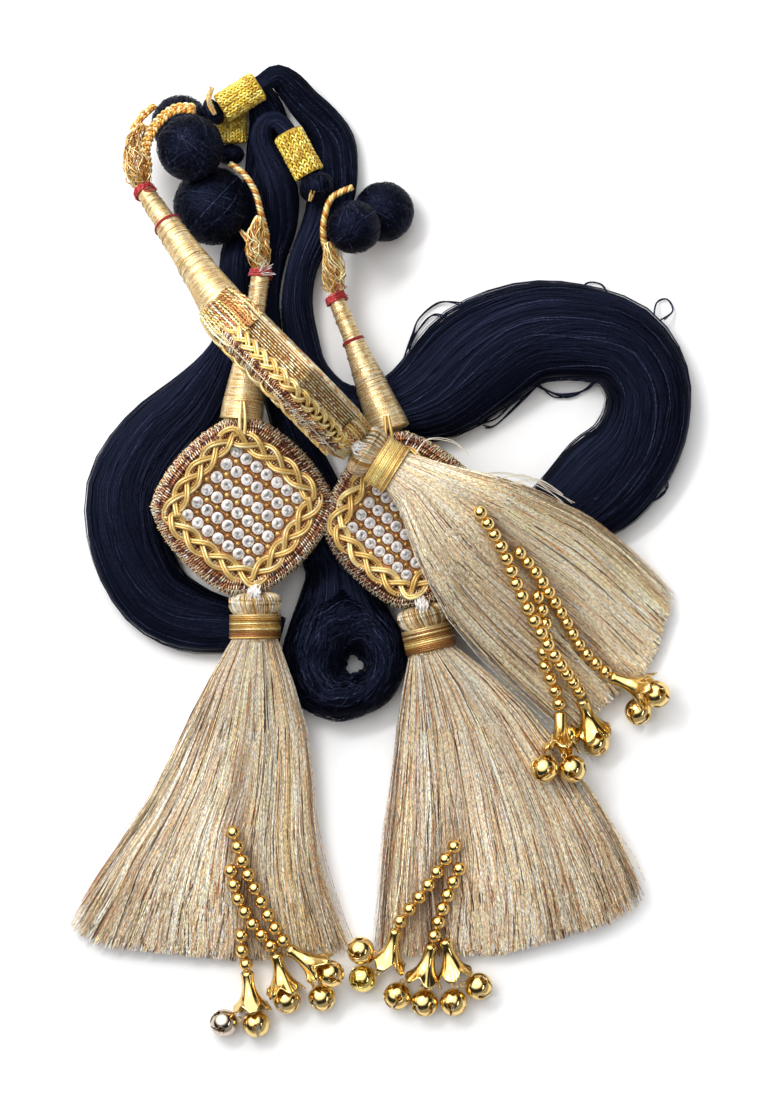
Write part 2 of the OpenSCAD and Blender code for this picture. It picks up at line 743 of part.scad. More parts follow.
module caps(ends) {
  for (e = ends) cap(e);
}

module bells(lies) {
  color(gold)
    for (lie = lies) bell(lie);
}

// Nodes

skein(skein_a_lie, 5, 14);  // skein_a
skein(skein_b_lie, 5, 12);  // skein_b
skein(skein_c_lie, 4, 14);  // skein_c
hair_knot();
collar([-48.6, 127.2, 5.0], [-48.6, 138.2, 5.0]);  // collar_a
collar([-51.6, 137.4, 15.2], [-39.8, 144.9, 14.8]);  // collar_b
collar([-24.0, 117.0, 14.6], [-31.0, 130.2, 13.4]);  // collar_c
thread_knot([-48.8, 123.6, 6.0], [-48.8, 130, 5.6], 4.2, 3.2);  // knot_a
thread_knot([-54.0, 136.6, 15.0], [-50, 139, 14.8], 4.4, 2.6);  // knot_b
thread_knot([-21.9, 113.2, 14.9], [-24, 117, 14.6], 5.4, 5.0);  // knot_c
ball([-54.3, 107.3, 14.0], 12.0, 8.6);  // ball_a
ball([-61.0, 125.1, 23.0], 10.2, 8.0);  // ball_b_upper
ball([-64.4, 133.0, 8.2], 9.0, 8.0);  // ball_b_lower
ball([-10.2, 100.6, 19.0], 8.2, 7.4);  // ball_c_upper
ball([-1.0, 105.8, 7.2], 9.2, 7.0);  // ball_c_lower
cords(cords_a_lies);  // cords_a
cords(cords_b_lies);  // cords_b
cords(cords_c_lies);  // cords_c
tie(0);  // tie_a
tie(1);  // tie_b
tie(2);  // tie_c
cone(0);  // cone_a
cone(1);  // cone_b
cone(2);  // cone_c
medallion(medallion_lie[0]);  // medallion_a
medallion(medallion_lie[1]);  // medallion_b
medallion(medallion_lie[2]);  // medallion_c
plait(medallion_lie[0]);  // plait_a
plait(medallion_lie[1]);  // plait_b
plait(medallion_lie[2]);  // plait_c
stones(medallion_lie[0]);  // stones_a
stones(medallion_lie[1]);  // stones_b
stones(medallion_lie[2]);  // stones_c
tassel(tassel_heads[0], fan_a, 36, 9);  // tassel_a
tassel(tassel_heads[1], fan_b, 36, 9);  // tassel_b
tassel(tassel_heads[2], fan_c, 36, 9);  // tassel_c
binding(tassel_heads[0]);  // binding_a
binding(tassel_heads[1]);  // binding_b
binding(tassel_heads[2]);  // binding_c
threads(strings_a, caps_a_ends);  // threads_a
threads(strings_b, caps_b_ends);  // threads_b
threads(strings_c, caps_c_ends);  // threads_c
bead_string(strings_a[0], caps_a_ends[0]);  // beads_a_1
bead_string(strings_a[1], caps_a_ends[1]);  // beads_a_2
bead_string(strings_a[2], caps_a_ends[2]);  // beads_a_3
bead_string(strings_b[0], caps_b_ends[0]);  // beads_b_1
bead_string(strings_b[1], caps_b_ends[1]);  // beads_b_2
bead_string(strings_b[2], caps_b_ends[2]);  // beads_b_3
bead_string(strings_c[0], caps_c_ends[0]);  // beads_c_1
bead_string(strings_c[1], caps_c_ends[1]);  // beads_c_2
caps(caps_a_ends);  // caps_a
caps(caps_b_ends);  // caps_b
caps(caps_c_ends);  // caps_c
bells(bells_a_lie);  // bells_a
bells(bells_b_lie);  // bells_b
bells(bells_c_lie);  // bells_c
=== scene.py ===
"""Paranda: a braid tassel with three drops on black thread skeins, laid out on a pale surface.

Lengths in the tables are millimetres in the frame of the CAD model, +Z towards the camera.
Drop A is the left one, drop B crosses on top and drop C is the right one.
"""

import math

import bpy
import numpy as np
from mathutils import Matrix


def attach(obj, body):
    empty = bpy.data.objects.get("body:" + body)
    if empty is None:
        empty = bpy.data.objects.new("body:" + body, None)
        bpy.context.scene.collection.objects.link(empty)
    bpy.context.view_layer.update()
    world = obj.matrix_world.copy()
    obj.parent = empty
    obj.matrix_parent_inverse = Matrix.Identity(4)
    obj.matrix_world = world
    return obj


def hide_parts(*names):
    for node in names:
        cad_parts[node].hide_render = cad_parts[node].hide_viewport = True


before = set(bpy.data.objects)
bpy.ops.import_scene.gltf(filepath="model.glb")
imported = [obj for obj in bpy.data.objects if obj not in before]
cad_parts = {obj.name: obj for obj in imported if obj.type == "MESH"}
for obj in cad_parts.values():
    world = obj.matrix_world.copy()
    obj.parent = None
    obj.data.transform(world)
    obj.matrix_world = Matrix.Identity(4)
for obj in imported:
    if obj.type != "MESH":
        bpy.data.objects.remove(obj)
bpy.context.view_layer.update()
rng = np.random.default_rng(12)

MM = 0.001
FLOOR_GAP = 0.00005
TAU = 2 * math.pi
# the lowest middle of a black thread
THREAD_Z = 0.3
# a path's side, taken square to this, lies flat even where the path climbs
NEARLY_UP = [0.02, 0.03, 1.0]

# ---------------------------------------------------------------- tables

# x, y, z of the middle, width in plan, thickness upwards
SKEIN_A = [
    [-48.6, 135.4, 5.0, 5.4, 5.4], [-48.5, 139.6, 4.6, 5.6, 5.6], [-45.4, 142.9, 3.8, 7.4, 6.6],
    [-40.0, 141.8, 3.6, 9.4, 6.6], [-37.2, 135.0, 3.6, 11.6, 6.6], [-36.6, 124.5, 3.6, 14.2, 6.6],
    [-39.6, 113.5, 3.9, 10.6, 7.2], [-43.6, 102.5, 4.1, 8.6, 7.8], [-47.0, 92.0, 5.3, 9.4, 10.2],
    [-47.6, 81.0, 5.3, 9.8, 10.2], [-47.6, 69.6, 5.0, 10.0, 9.8], [-51.4, 58.4, 4.7, 14.6, 9.2],
    [-60.0, 46.0, 4.6, 21.4, 8.8], [-72.6, 33.8, 4.9, 25.0, 9.4], [-81.2, 18.4, 5.4, 26.0, 10.4],
    [-80.2, 0.6, 5.4, 25.4, 10.4], [-73.0, -14.0, 4.9, 24.0, 9.4], [-61.4, -21.2, 4.3, 21.6, 8.2],
    [-49.0, -23.6, 4.1, 17.0, 7.8], [-39.6, -25.0, 4.0, 14.0, 7.6], [-33.0, -26.6, 4.0, 12.0, 7.4],
]
SKEIN_B = [
    [-42.5, 143.2, 14.9, 5.2, 5.2], [-38.7, 145.6, 14.7, 5.4, 5.4], [-34.4, 147.6, 12.4, 7.2, 7.0],
    [-30.2, 144.6, 9.6, 9.2, 8.6], [-26.0, 139.6, 7.0, 10.2, 9.4], [-20.8, 134.2, 5.2, 11.6, 9.4],
    [-17.2, 127.8, 4.5, 14.0, 8.2], [-16.6, 120.6, 4.3, 15.0, 7.8], [-17.0, 112.6, 4.3, 15.0, 7.8],
    [-19.0, 105.0, 4.5, 13.0, 8.4], [-22.6, 97.6, 5.0, 10.8, 9.6], [-26.6, 88.6, 5.3, 9.4, 10.2],
    [-28.2, 77.6, 5.3, 9.6, 10.2], [-26.8, 66.6, 5.0, 10.4, 9.6], [-23.2, 55.2, 4.8, 10.8, 9.4],
    [-14.0, 46.0, 4.7, 13.0, 9.2], [-0.4, 44.2, 4.7, 19.6, 9.0], [14.4, 49.0, 5.2, 30.6, 10.0],
    [28.6, 59.6, 5.8, 36.0, 11.2], [43.6, 67.2, 6.1, 32.8, 11.8], [58.8, 67.6, 6.3, 31.0, 12.2],
    [73.4, 63.6, 6.4, 28.6, 12.4], [80.8, 53.2, 6.4, 27.6, 12.4], [81.2, 42.0, 6.3, 27.2, 12.2],
    [76.4, 30.6, 5.9, 28.8, 11.4], [67.4, 21.8, 5.3, 31.6, 10.2], [57.2, 13.8, 4.6, 27.0, 8.8],
    [45.8, 6.8, 4.4, 20.0, 8.4], [34.0, -1.0, 4.4, 16.4, 8.4], [24.0, -10.4, 4.2, 14.4, 8.0],
    [15.4, -20.4, 4.1, 13.4, 7.8], [7.9, -28.0, 4.1, 13.0, 7.8],
]
SKEIN_C = [
    [-30.3, 128.9, 13.5, 5.2, 5.2], [-31.5, 131.0, 13.3, 5.2, 5.2], [-34.2, 133.6, 12.8, 5.8, 5.8],
    [-37.8, 132.8, 12.2, 6.4, 6.2], [-39.2, 128.0, 11.8, 7.0, 6.6], [-37.2, 122.2, 11.8, 8.0, 6.8],
    [-33.6, 112.6, 11.8, 11.0, 7.2], [-33.6, 102.0, 7.8, 10.8, 9.8], [-36.4, 91.6, 5.4, 9.8, 10.2],
    [-38.0, 80.0, 5.3, 9.2, 10.2], [-37.2, 67.6, 5.1, 9.2, 9.8], [-35.8, 55.6, 4.8, 9.8, 9.2],
    [-31.6, 43.6, 4.6, 11.4, 8.8], [-27.4, 30.6, 4.4, 13.6, 8.4], [-22.4, 17.6, 4.3, 17.0, 8.2],
    [-18.4, 4.8, 4.3, 21.0, 8.2], [-15.4, -4.4, 4.2, 22.0, 8.0], [-14.4, -11.6, 4.2, 18.0, 7.8],
    [-12.6, -17.6, 5.6, 13.0, 7.0], [-12.0, -22.6, 7.0, 8.0, 5.0],
]
# stray threads beside the skein of drop B, and long pale ones on its tassel
STRAYS = [
    [[5.0, 56, 5], [5.6, 61, 2.4], [7.8, 67.5, 1.4], [10.3, 73, 1.2], [16.6, 77.8, 1.4], [24, 76.5, 4]],
    [[7.0, 58, 5], [7.4, 64, 1.8], [10.8, 70.5, 1.2], [14.5, 73.6, 1.4], [20, 72, 4]],
    [[60, 80, 5], [62.5, 83.6, 1.4], [66.6, 83.4, 1.4], [69, 80, 5]],
    [[83.2, 73.5, 5], [84.4, 77.8, 1.4], [87.5, 78.6, 1.3], [89.2, 75, 1.4], [85.3, 72, 5]],
    [[85, 25, 5], [87, 21, 1.4], [86.6, 18, 1.2], [82.4, 15.6, 1.3], [76, 17.5, 4]],
    [[67.5, 56, 5], [64, 51.6, 1.6], [60.3, 49.7, 1.4], [52.5, 49.2, 1.4], [46, 52.6, 4]],
    [[67.5, 57, 5], [63, 51, 1.9], [56, 48.6, 1.6], [49, 50.4, 1.6], [43, 54, 4]],
    [[30.6, 38.4, 4], [34, 39.4, 1.4], [43, 47.6, 1.4], [49, 54, 4]],
    [[28.6, 39.4, 4], [35, 42, 1.6], [42, 50, 1.6], [46, 55, 4]],
]
PALE_STRAYS = [
    [[9, 30, 46], [12.5, 34.4, 44], [19.7, 34.2, 40], [25.4, 29.6, 39]],
    [[30, 24, 42], [37.5, 23.6, 38], [45.6, 20.6, 33], [53, 16.4, 27], [58, 11, 20]],
    [[33, 22, 41], [42, 23.2, 35], [50.6, 19.6, 29], [57.4, 14.8, 22]],
    [[36, 20, 40], [46, 22.4, 32], [54, 18, 25]],
]
HAIR_KNOT = {"centre": [-13.6, -32.6, 6.6], "r": 10.9, "w": 16.4, "h": 12.8, "stretch": 1.07, "eye": [3.4, -2.8]}

# where the skein of drop C spreads out over the coil: x, y, z of its middle, half its width, half its thickness
KNOT_SPREAD = [-15.4, -3.0, 4.2, 10.6, 4.2]

# foot and top
COLLARS = {
    "a": [[-48.6, 127.2, 5.0], [-48.6, 138.2, 5.0]],
    "b": [[-51.6, 137.4, 15.2], [-39.8, 144.9, 14.8]],
    "c": [[-24.0, 117.0, 14.6], [-31.0, 130.2, 13.4]],
}
COLLAR_D = 9.4

# centre, the way its axis points, radius, half height
BALLS = {
    "knot_a": [[-48.8, 123.6, 6.0], [0, 1, -0.06], 4.2, 3.2],
    "knot_b": [[-54.0, 136.6, 15.0], [0.85, 0.51, -0.04], 4.4, 2.6],
    "knot_c": [[-21.9, 113.2, 14.9], [-0.48, 0.87, -0.07], 5.4, 5.0],
    "ball_a": [[-54.3, 107.3, 14.0], [0, 0, 1], 12.0, 8.6],
    "ball_b_upper": [[-61.0, 125.1, 23.0], [0, 0, 1], 10.2, 8.0],
    "ball_b_lower": [[-64.4, 133.0, 8.2], [0, 0, 1], 9.0, 8.0],
    "ball_c_upper": [[-10.2, 100.6, 19.0], [0, 0, 1], 8.2, 7.4],
    "ball_c_lower": [[-1.0, 105.8, 7.2], [0, 0, 1], 9.2, 7.0],
}

# x, y, z of the middle of each cord
CORDS = {
    "a": [
        [[-48.8, 120.2, 17], [-44.8, 117.4, 19.6], [-41.0, 111.8, 20.2], [-39.0, 104.4, 18.4],
         [-37.4, 97.4, 16], [-38.4, 89.1, 14.6]],
        [[-45.0, 98.8, 16.4], [-42.8, 94.6, 15.8], [-40.4, 88.8, 14.0]],
    ],
    "b": [
        [[-59.4, 136.8, 31.6], [-65.6, 136.6, 31.4], [-71.4, 132.0, 29], [-74.8, 125.0, 26],
         [-74.4, 118.6, 24], [-75.9, 114.4, 23.0]],
        [[-72.4, 138.4, 19], [-77.8, 132.6, 21], [-79.6, 124.4, 22], [-79.2, 117.6, 22.4], [-77.4, 112.8, 22.5]],
    ],
    "c": [
        [[-10.8, 112.9, 19.0], [-17.0, 109.7, 19.2], [-19.4, 103.4, 19.0], [-19.6, 96.4, 16.0],
         [-17.6, 90.0, 13.0], [-16.4, 81.1, 11.0]],
        [[-20.6, 88.4, 12.0], [-20.8, 84.8, 11.2], [-18.3, 80.7, 10.1]],
    ],
}

# the line of each tuft of cord ends, its half widths along it and its number of yarns
TUFTS = {
    "a": [
        [[[-39.1, 88.2, 15.4], [-40.2, 93.0, 17.0], [-40.6, 98.5, 18.0], [-39.6, 104.0, 19.2]],
         [2.6, 4.0, 3.0, 0.9], 60],
        [[[-40.5, 92.0, 17.0], [-43.0, 96.5, 17.0], [-45.6, 99.6, 15.8]], [1.6, 1.2, 0.7], 14],
    ],
    "b": [
        [[[-76.2, 113.4, 23.6], [-77.4, 119.0, 25.0], [-77.6, 126.0, 24.6], [-74.6, 131.6, 26.4]],
         [2.8, 4.2, 4.0, 2.4], 80],
        [[[-54.2, 143.8, 19.0], [-55.4, 140.0, 20.4], [-53.6, 135.4, 19.8]], [0.9, 1.1, 0.7], 12],
    ],
    "c": [
        [[[-16.7, 80.6, 11.4], [-16.6, 85.5, 13.4], [-17.0, 90.5, 14.8], [-18.6, 96.0, 16.2]],
         [2.4, 4.0, 3.2, 0.9], 60],
        [[[-23.0, 112.0, 20.0], [-23.8, 108.6, 19.0]], [0.8, 0.5], 8],
    ],
}

# small end, big end, radius at shares of the length
CONES = {
    "a": [[-39.1, 87.9, 14.2], [-45.3, 40.7, 17.2],
          [[0, 2.5], [0.04, 3.0], [0.3, 3.1], [0.33, 3.6], [0.55, 4.5], [0.75, 5.7], [0.9, 6.6], [1, 6.8]]],
    "b": [[-76.1, 112.8, 23], [-49.7, 74.1, 47.6],
          [[0, 2.3], [0.04, 2.8], [0.28, 3.5], [0.31, 4.1], [0.55, 4.9], [0.75, 5.8], [0.92, 6.9], [1, 7.1]]],
    "c": [[-16.5, 80.0, 10.5], [1.0, 37.2, 17.0],
          [[0, 2.4], [0.04, 2.7], [0.32, 2.9], [0.35, 3.3], [0.6, 4.7], [0.78, 5.6], [0.92, 6.3], [1, 6.5]]],
}
# share of the length where a thin red band sits
RED_BANDS = {"a": [], "b": [0.3], "c": [0.335]}

# centre, the way towards the cone, the way the front faces, left half width, turn of the rows
MEDALLIONS = {
    "a": [[-45.0, 13.8, 17.2], [0, 1, 0.01], [0.03, 0, 1], 27.2, -37.4],
    "b": [[-29.6, 53.4, 45.4], [-0.7, 0.71, 0.13], [-0.71, -0.7, 0], 27.2, -42],
    "c": [[4.6, 9.7, 17.6], [-0.13, 0.99, 0.01], [-0.07, 0, 1], 23.2, -45],
}
MEDALLION_R = 27.6
MEDALLION_SQUARE = 1.45
CLIP_END = 26.0
MEDALLION_SECTION = [
    [-7.5, 5.0], [-6.4, 0.3], [-5.0, 1.0], [-1.0, 1.5], [1.8, 0.3], [4.4, 1.3], [6.0, 0.5], [6.8, 2.2], [6.2, 4.4],
]
# the cords at the corners of medallion B: height, distance from its middle, half spread, droop at the sides
CORNER_CORDS = [
    [[12.4, 21.4, 7.0, 1.0], [8.4, 25.0, 7.3, 1.6], [6.2, 28.4, 7.2, 2.4], [5.4, 31.4, 6.6, 3.0],
     [5.2, 34.2, 6.0, 3.2]],
    [[12.4, -21.4, 7.0, 1.0], [8.6, -24.8, 7.2, 1.6], [5.2, -27.6, 6.6, 2.4], [1.6, -29.6, 5.4, 3.0]],
]
RIM_Z = 6.8
PANEL_Z = 6.2
STONE_D = 4.0
STONE_PITCH = 3.97
ROW_PITCH = 4.98

# start of the head, the way the tassel hangs, height of its middle
HEADS = {
    "a": [[-41.0, -12.5], [0, -1], 17.3],
    "b": [[-9.3, 32.6], [0.84, -0.543], 38.4],
    "c": [[10.6, -16.5], [0.219, -0.976], 17.3],
}
NECK_R = 6.7
# left edge x and y, right edge x and y, low and high z, parting, parting depth
FANS = {
    "a": [
        [-57.0, -42.8, -28.6, -42.0, 5.0, 20.0, 0, 0], [-65.0, -59.1, -24.1, -59.1, 0.4, 15.0, 0, 0.1],
        [-74.7, -77.8, -22.5, -77.8, 0.4, 12.6, 0.05, 0.3], [-85.6, -93.4, -20.9, -93.4, 0.4, 11.0, 0.2, 0.4],
        [-94.1, -106.9, -16.6, -108.1, 0.4, 9.4, 0.32, 0.4],
        [-102.6, -120.4, -11.6, -121.6, 0.5, 6.4, 0.3, 0.3],
    ],
    "b": [
        [4.2, 12.4, 18.6, 26.6, 29.8, 45.0, 0, 0], [10.3, -5.9, 35.3, 22.8, 29.8, 44.0, 0.45, 0.25],
        [15.6, -14.7, 42.2, 20.6, 28.4, 41.6, 0.3, 0.35], [21.2, -23.1, 49.4, 17.5, 21.0, 35.6, 0.2, 0.4],
        [33.2, -36.4, 63.4, 10.6, 12.0, 25.4, 0.1, 0.4], [46.6, -48.8, 75.9, 0.9, 2.2, 15.0, -0.1, 0.4],
        [60.0, -61.2, 87.9, -11.0, 0.5, 7.6, -0.1, 0.2],
    ],
    "c": [
        [4.6, -45.4, 37.2, -42.0, 4.6, 19.6, 0, 0], [2.5, -59.1, 51.2, -57.2, 0.4, 15.0, 0, 0],
        [0, -77.8, 65.0, -76.2, 0.4, 12.6, -0.2, 0.1], [-2.2, -93.4, 74.1, -91.9, 0.4, 11.0, -0.42, 0.3],
        [-3.1, -109.1, 79.1, -103.4, 0.4, 9.4, -0.6, 0.4], [-4.1, -122.8, 84.1, -114.9, 0.5, 6.4, -0.6, 0.3],
    ],
}

# where across the fan and how far down it the threads end
FAN_ENDS = {
    "a": [[-1, 0.88], [-0.7, 1.0], [0.29, 1.085], [1, 1.01]],
    "b": [[-1, 0.885], [-0.41, 0.96], [0.1, 1.034], [0.42, 1.035], [1, 0.985]],
    "c": [[-1, 1.02], [-0.15, 1.09], [0.18, 1.045], [0.6, 0.965], [1, 0.845]],
}

# top and mouth of each cap
CAPS = {
    "a": [
        [[-34.5, -126.0, 6.4], [-31.7, -137.6, 4.9]], [[-30.4, -124.2, 8.5], [-20.3, -130.6, 8.8]],
        [[-43.6, -131.6, 5.6], [-42.2, -143.2, 5.0]],
    ],
    "b": [
        [[60.8, -46.6, 10.6], [64.2, -56.2, 6.6]], [[70.2, -39.4, 9.2], [80.0, -43.1, 9.7]],
        [[54.0, -50.9, 11.2], [53.9, -62.0, 14.6]],
    ],
    "c": [
        [[2.8, -118.4, 8.2], [-0.2, -130.4, 5.6]], [[14.0, -123.2, 7.4], [10.8, -135.2, 5.2]],
        [[18.2, -121.6, 7.8], [21.3, -133.4, 5.3]],
    ],
}
# middle of each bell and the way its slotted end faces
BELLS = {
    "a": [
        [[-50.9, -147.2, 4.4], [-0.95, -0.2, 0.1]], [[-40.8, -147.5, 4.4], [0.2, -0.9, 0.1]],
        [[-31.1, -140.1, 4.5], [0.2, -0.9, 0.1]], [[-17.6, -131.8, 8.9], [0.8, -0.45, 0.1]],
        [[-20.2, -139.3, 4.4], [0.1, -0.9, 0.1]],
    ],
    "b": [
        [[48.9, -67.6, 16.8], [-0.4, -0.7, 0.6]], [[57.7, -67.8, 14.4], [0.5, -0.8, 0.1]],
        [[65.2, -59.8, 5.0], [0.2, -0.9, -0.36]], [[56.1, -57.7, 4.4], [-0.6, -0.7, 0.1]],
        [[83.9, -44.6, 9.9], [0.9, -0.35, 0.1]], [[78.4, -50.0, 4.4], [-0.2, -0.8, 0.2]],
    ],
    "c": [
        [[-7.6, -133.4, 4.4], [-0.8, -0.3, 0.1]], [[-8.2, -124.6, 6.6], [-0.9, 0.2, 0.2]],
        [[3.2, -138.8, 4.4], [-0.3, -0.8, 0.3]], [[11.7, -141.0, 4.4], [0.1, -0.9, 0.1]],
        [[20.7, -140.8, 4.4], [-0.1, -0.9, 0.1]], [[28.6, -135.8, 4.4], [0.9, -0.1, 0.1]],
    ],
}
BELL_R = 4.35
# bells that have lost their gold or are more yellow than the rest
BELL_TINTS = {("a", 0): (0.66, 0.55, 0.44), ("c", 0): (0.90, 0.72, 0.24)}
BEAD_R = 2.25
# the border round the stones: half width, the same on the left of medallion C,
# and how far that side's stones are drawn in
BORDER_HALF, BORDER_LEFT_C, SQUEEZE = 22.4, 20.0, 0.87
# where the binding starts and ends along the tassel, and where the fan starts
BINDING_SPAN, FAN_START = (7.3, 14.7), 14.2

# ---------------------------------------------------------------- colours, linear

BLACKS = [(0.0004, 0.0005, 0.0014), (0.0013, 0.0016, 0.0042), (0.0042, 0.0052, 0.0115), (0.014, 0.017, 0.034)]
BLACK_SHARES = [0.36, 0.3, 0.22, 0.12]
# the last colour, near white, is a painted glint
FRINGE = [
    (0.95, 0.77, 0.50), (0.80, 0.54, 0.29), (0.99, 0.91, 0.76), (0.46, 0.21, 0.09),
    (0.88, 0.60, 0.38), (0.08, 0.035, 0.02), (0.97, 0.88, 0.82),
]
FRINGE_SHARES = {
    "a": [0.3, 0.13, 0.25, 0.09, 0.07, 0.11, 0.05],
    # painted light: drop B has fewer dark threads, to lighten the fan whose top slopes away from the lamps
    "b": [0.5, 0.07, 0.24, 0.04, 0.06, 0.07, 0.02],
    "c": [0.3, 0.13, 0.24, 0.1, 0.07, 0.11, 0.05],
}
PALE_GOLD = [(0.86, 0.68, 0.34), (0.93, 0.80, 0.50), (0.66, 0.42, 0.16), (0.97, 0.90, 0.68)]
CONE_GOLD = [(0.97, 0.86, 0.62), (0.90, 0.70, 0.38), (0.70, 0.44, 0.16), (0.30, 0.13, 0.05)]
COPPER = [(0.42, 0.16, 0.06), (0.60, 0.28, 0.11), (0.14, 0.04, 0.03), (0.72, 0.42, 0.2)]
# the near-white colour is a painted glint on the wire
GIMP = [
    (0.70, 0.36, 0.17), (0.92, 0.68, 0.42), (0.98, 0.91, 0.78),
    (0.48, 0.19, 0.08), (0.16, 0.06, 0.04), (0.88, 0.60, 0.34),
]
BRONZE = [(0.56, 0.32, 0.08), (0.76, 0.50, 0.15), (0.30, 0.14, 0.04)]
YELLOW = [(0.90, 0.68, 0.28), (0.96, 0.80, 0.42), (0.78, 0.52, 0.17)]
COLLAR = [(0.88, 0.64, 0.08), (0.97, 0.80, 0.22), (0.58, 0.36, 0.05)]
ORANGE = [(0.84, 0.46, 0.10), (0.92, 0.64, 0.24), (0.52, 0.20, 0.03), (0.96, 0.80, 0.46)]
RED = [(0.50, 0.02, 0.03), (0.36, 0.01, 0.02), (0.62, 0.07, 0.08)]
WHITE = [(0.95, 0.93, 0.90), (0.85, 0.78, 0.72)]
DOTS = [(0.50, 0.28, 0.08), (0.36, 0.17, 0.05), (0.62, 0.38, 0.12)]
PANEL_THREADS = [(0.30, 0.15, 0.05), (0.46, 0.25, 0.08)]
BACK_WIRES, EDGE_WIRE = [(0.90, 0.80, 0.56), (0.84, 0.68, 0.38)], (0.95, 0.84, 0.62)
# the dark middle of each stone is a painted reflection
STONE, STONE_DARK_REFLECTION, STONE_CUP = (0.98, 0.96, 0.95), (0.04, 0.03, 0.03), (0.20, 0.09, 0.04)
# painted shade: the dark body inside each fan, seen between its threads
FAN_SHADE_CORE = (0.16, 0.08, 0.04)
CAP_GOLD, BEAD_GOLD = (0.84, 0.60, 0.23), (0.90, 0.62, 0.24)
BELL_GOLD, LUG_GOLD = (0.88, 0.64, 0.26), (0.8, 0.56, 0.22)
PAPER = (0.96, 0.96, 0.965, 1)


# ---------------------------------------------------------------- small maths

def unit(v):
    v = np.asarray(v, float)
    return v / np.maximum(np.linalg.norm(v, axis=-1, keepdims=True), 1e-12)


def smooth_rows(rows, steps):
    """A table with each gap between rows cut into steps along a smooth curve."""
    rows = np.asarray(rows, float)
    padded = np.vstack([rows[:1], rows, rows[-1:]])
    t = (np.arange(steps) / steps)[:, None]
    parts = []
    for i in range(len(rows) - 1):
        a, b, c, d = padded[i:i + 4]
        parts.append(0.5 * (2 * b + (c - a) * t + (2 * a - 5 * b + 4 * c - d) * t**2 + (3 * b - a - 3 * c + d) * t**3))
    parts.append(rows[-1:])
    return np.vstack(parts)


def rows_at(table, t):
    """Rows of a table at shares t of its length, run on past its end in a straight line."""
    x = np.asarray(t) * (len(table) - 1)
    i = np.clip(np.floor(x).astype(int), 0, len(table) - 2)
    f = (x - i)[..., None]
    return table[i] * (1 - f) + table[i + 1] * f


def resampled(path, count, closed=False):
    """A path cut into equal steps."""
    path = np.asarray(path, float)
    if closed:
        path = np.vstack([path, path[:1]])
    ran = np.concatenate([[0], np.cumsum(np.linalg.norm(np.diff(path, axis=0), axis=1))])
    want = np.linspace(0, ran[-1], count + 1)[:-1] if closed else np.linspace(0, ran[-1], count)
    return np.stack([np.interp(want, ran, path[:, k]) for k in range(3)], axis=1)


def axes_along(path):
    """Direction, side and up along one path."""
    t = unit(np.gradient(path, axis=0))
    side = unit(np.cross(t, NEARLY_UP))
    return t, side, np.cross(side, t)


def basis(z):
    """Two directions square to z, and z."""
    z = unit(z)
    x = unit(np.cross([0, 1, 0] if abs(z[2]) > 0.9 else [0, 0, 1], z))
    return x, np.cross(z, x), z


def full_turn(count):
    """Angles that share out one turn evenly."""
    return np.arange(count) / count * TAU


def wheel(angles, x, y):
    """Points of a unit circle at the angles, from x towards y."""
    return np.outer(np.cos(angles), x) + np.outer(np.sin(angles), y)


def closed_steps(path):
    """From each point of a closed path to the next one."""
    return np.roll(path, -1, axis=0) - path


def closed_way(path):
    """The direction at each point of a closed path."""
    return unit(np.roll(path, -1, axis=0) - np.roll(path, 1, axis=0))


def oval(wave):
    """A sine or cosine for a section a little squarer than an ellipse."""
    return np.sign(wave) * np.abs(wave) ** 0.85


def vary(low, high, count):
    """A number for each of a number of strands, at random."""
    return rng.uniform(low, high, (count, 1))


def tilt(count, size):
    """A random lean for each of a number of strands' faces."""
    return rng.normal(size=(count, 1, 3)) * size


def chance(count, share):
    """Whether each of a number of strands is one of a share of them, at random."""
    return rng.uniform(size=(count, 1)) < share


def linked(name, data):
    """A new object in the scene."""
    thing = bpy.data.objects.new(name, data)
    bpy.context.collection.objects.link(thing)
    return thing


def wander(count, points, waves, size):
    """Smooth seeded noise for each of a number of strands, along its points."""
    s = np.linspace(0, 1, points)[None, :]
    total = np.zeros((count, points))
    for w in range(1, waves + 1):
        phase = vary(0, TAU, count)
        rate = vary(0.5, 1.0, count) * w * 2
        total += np.sin(TAU * rate * s + phase) / w
    return total * size


def pick(colours, count, shares=None, spread=0.12):
    """A colour for each strand, with a little change of strength."""
    colours = np.asarray(colours, float)
    chosen = colours[rng.choice(len(colours), count, p=shares)]
    return np.clip(chosen * vary(1 - spread, 1 + spread, count), 0, 1)


def blacks(strands, points):
    """Tints of black threads, with glints where the twist turns them to the light."""
    return pick(BLACKS, strands, BLACK_SHARES)[:, None] * rng.uniform(0.35, 1.8, (strands, points, 1))


# ---------------------------------------------------------------- meshes

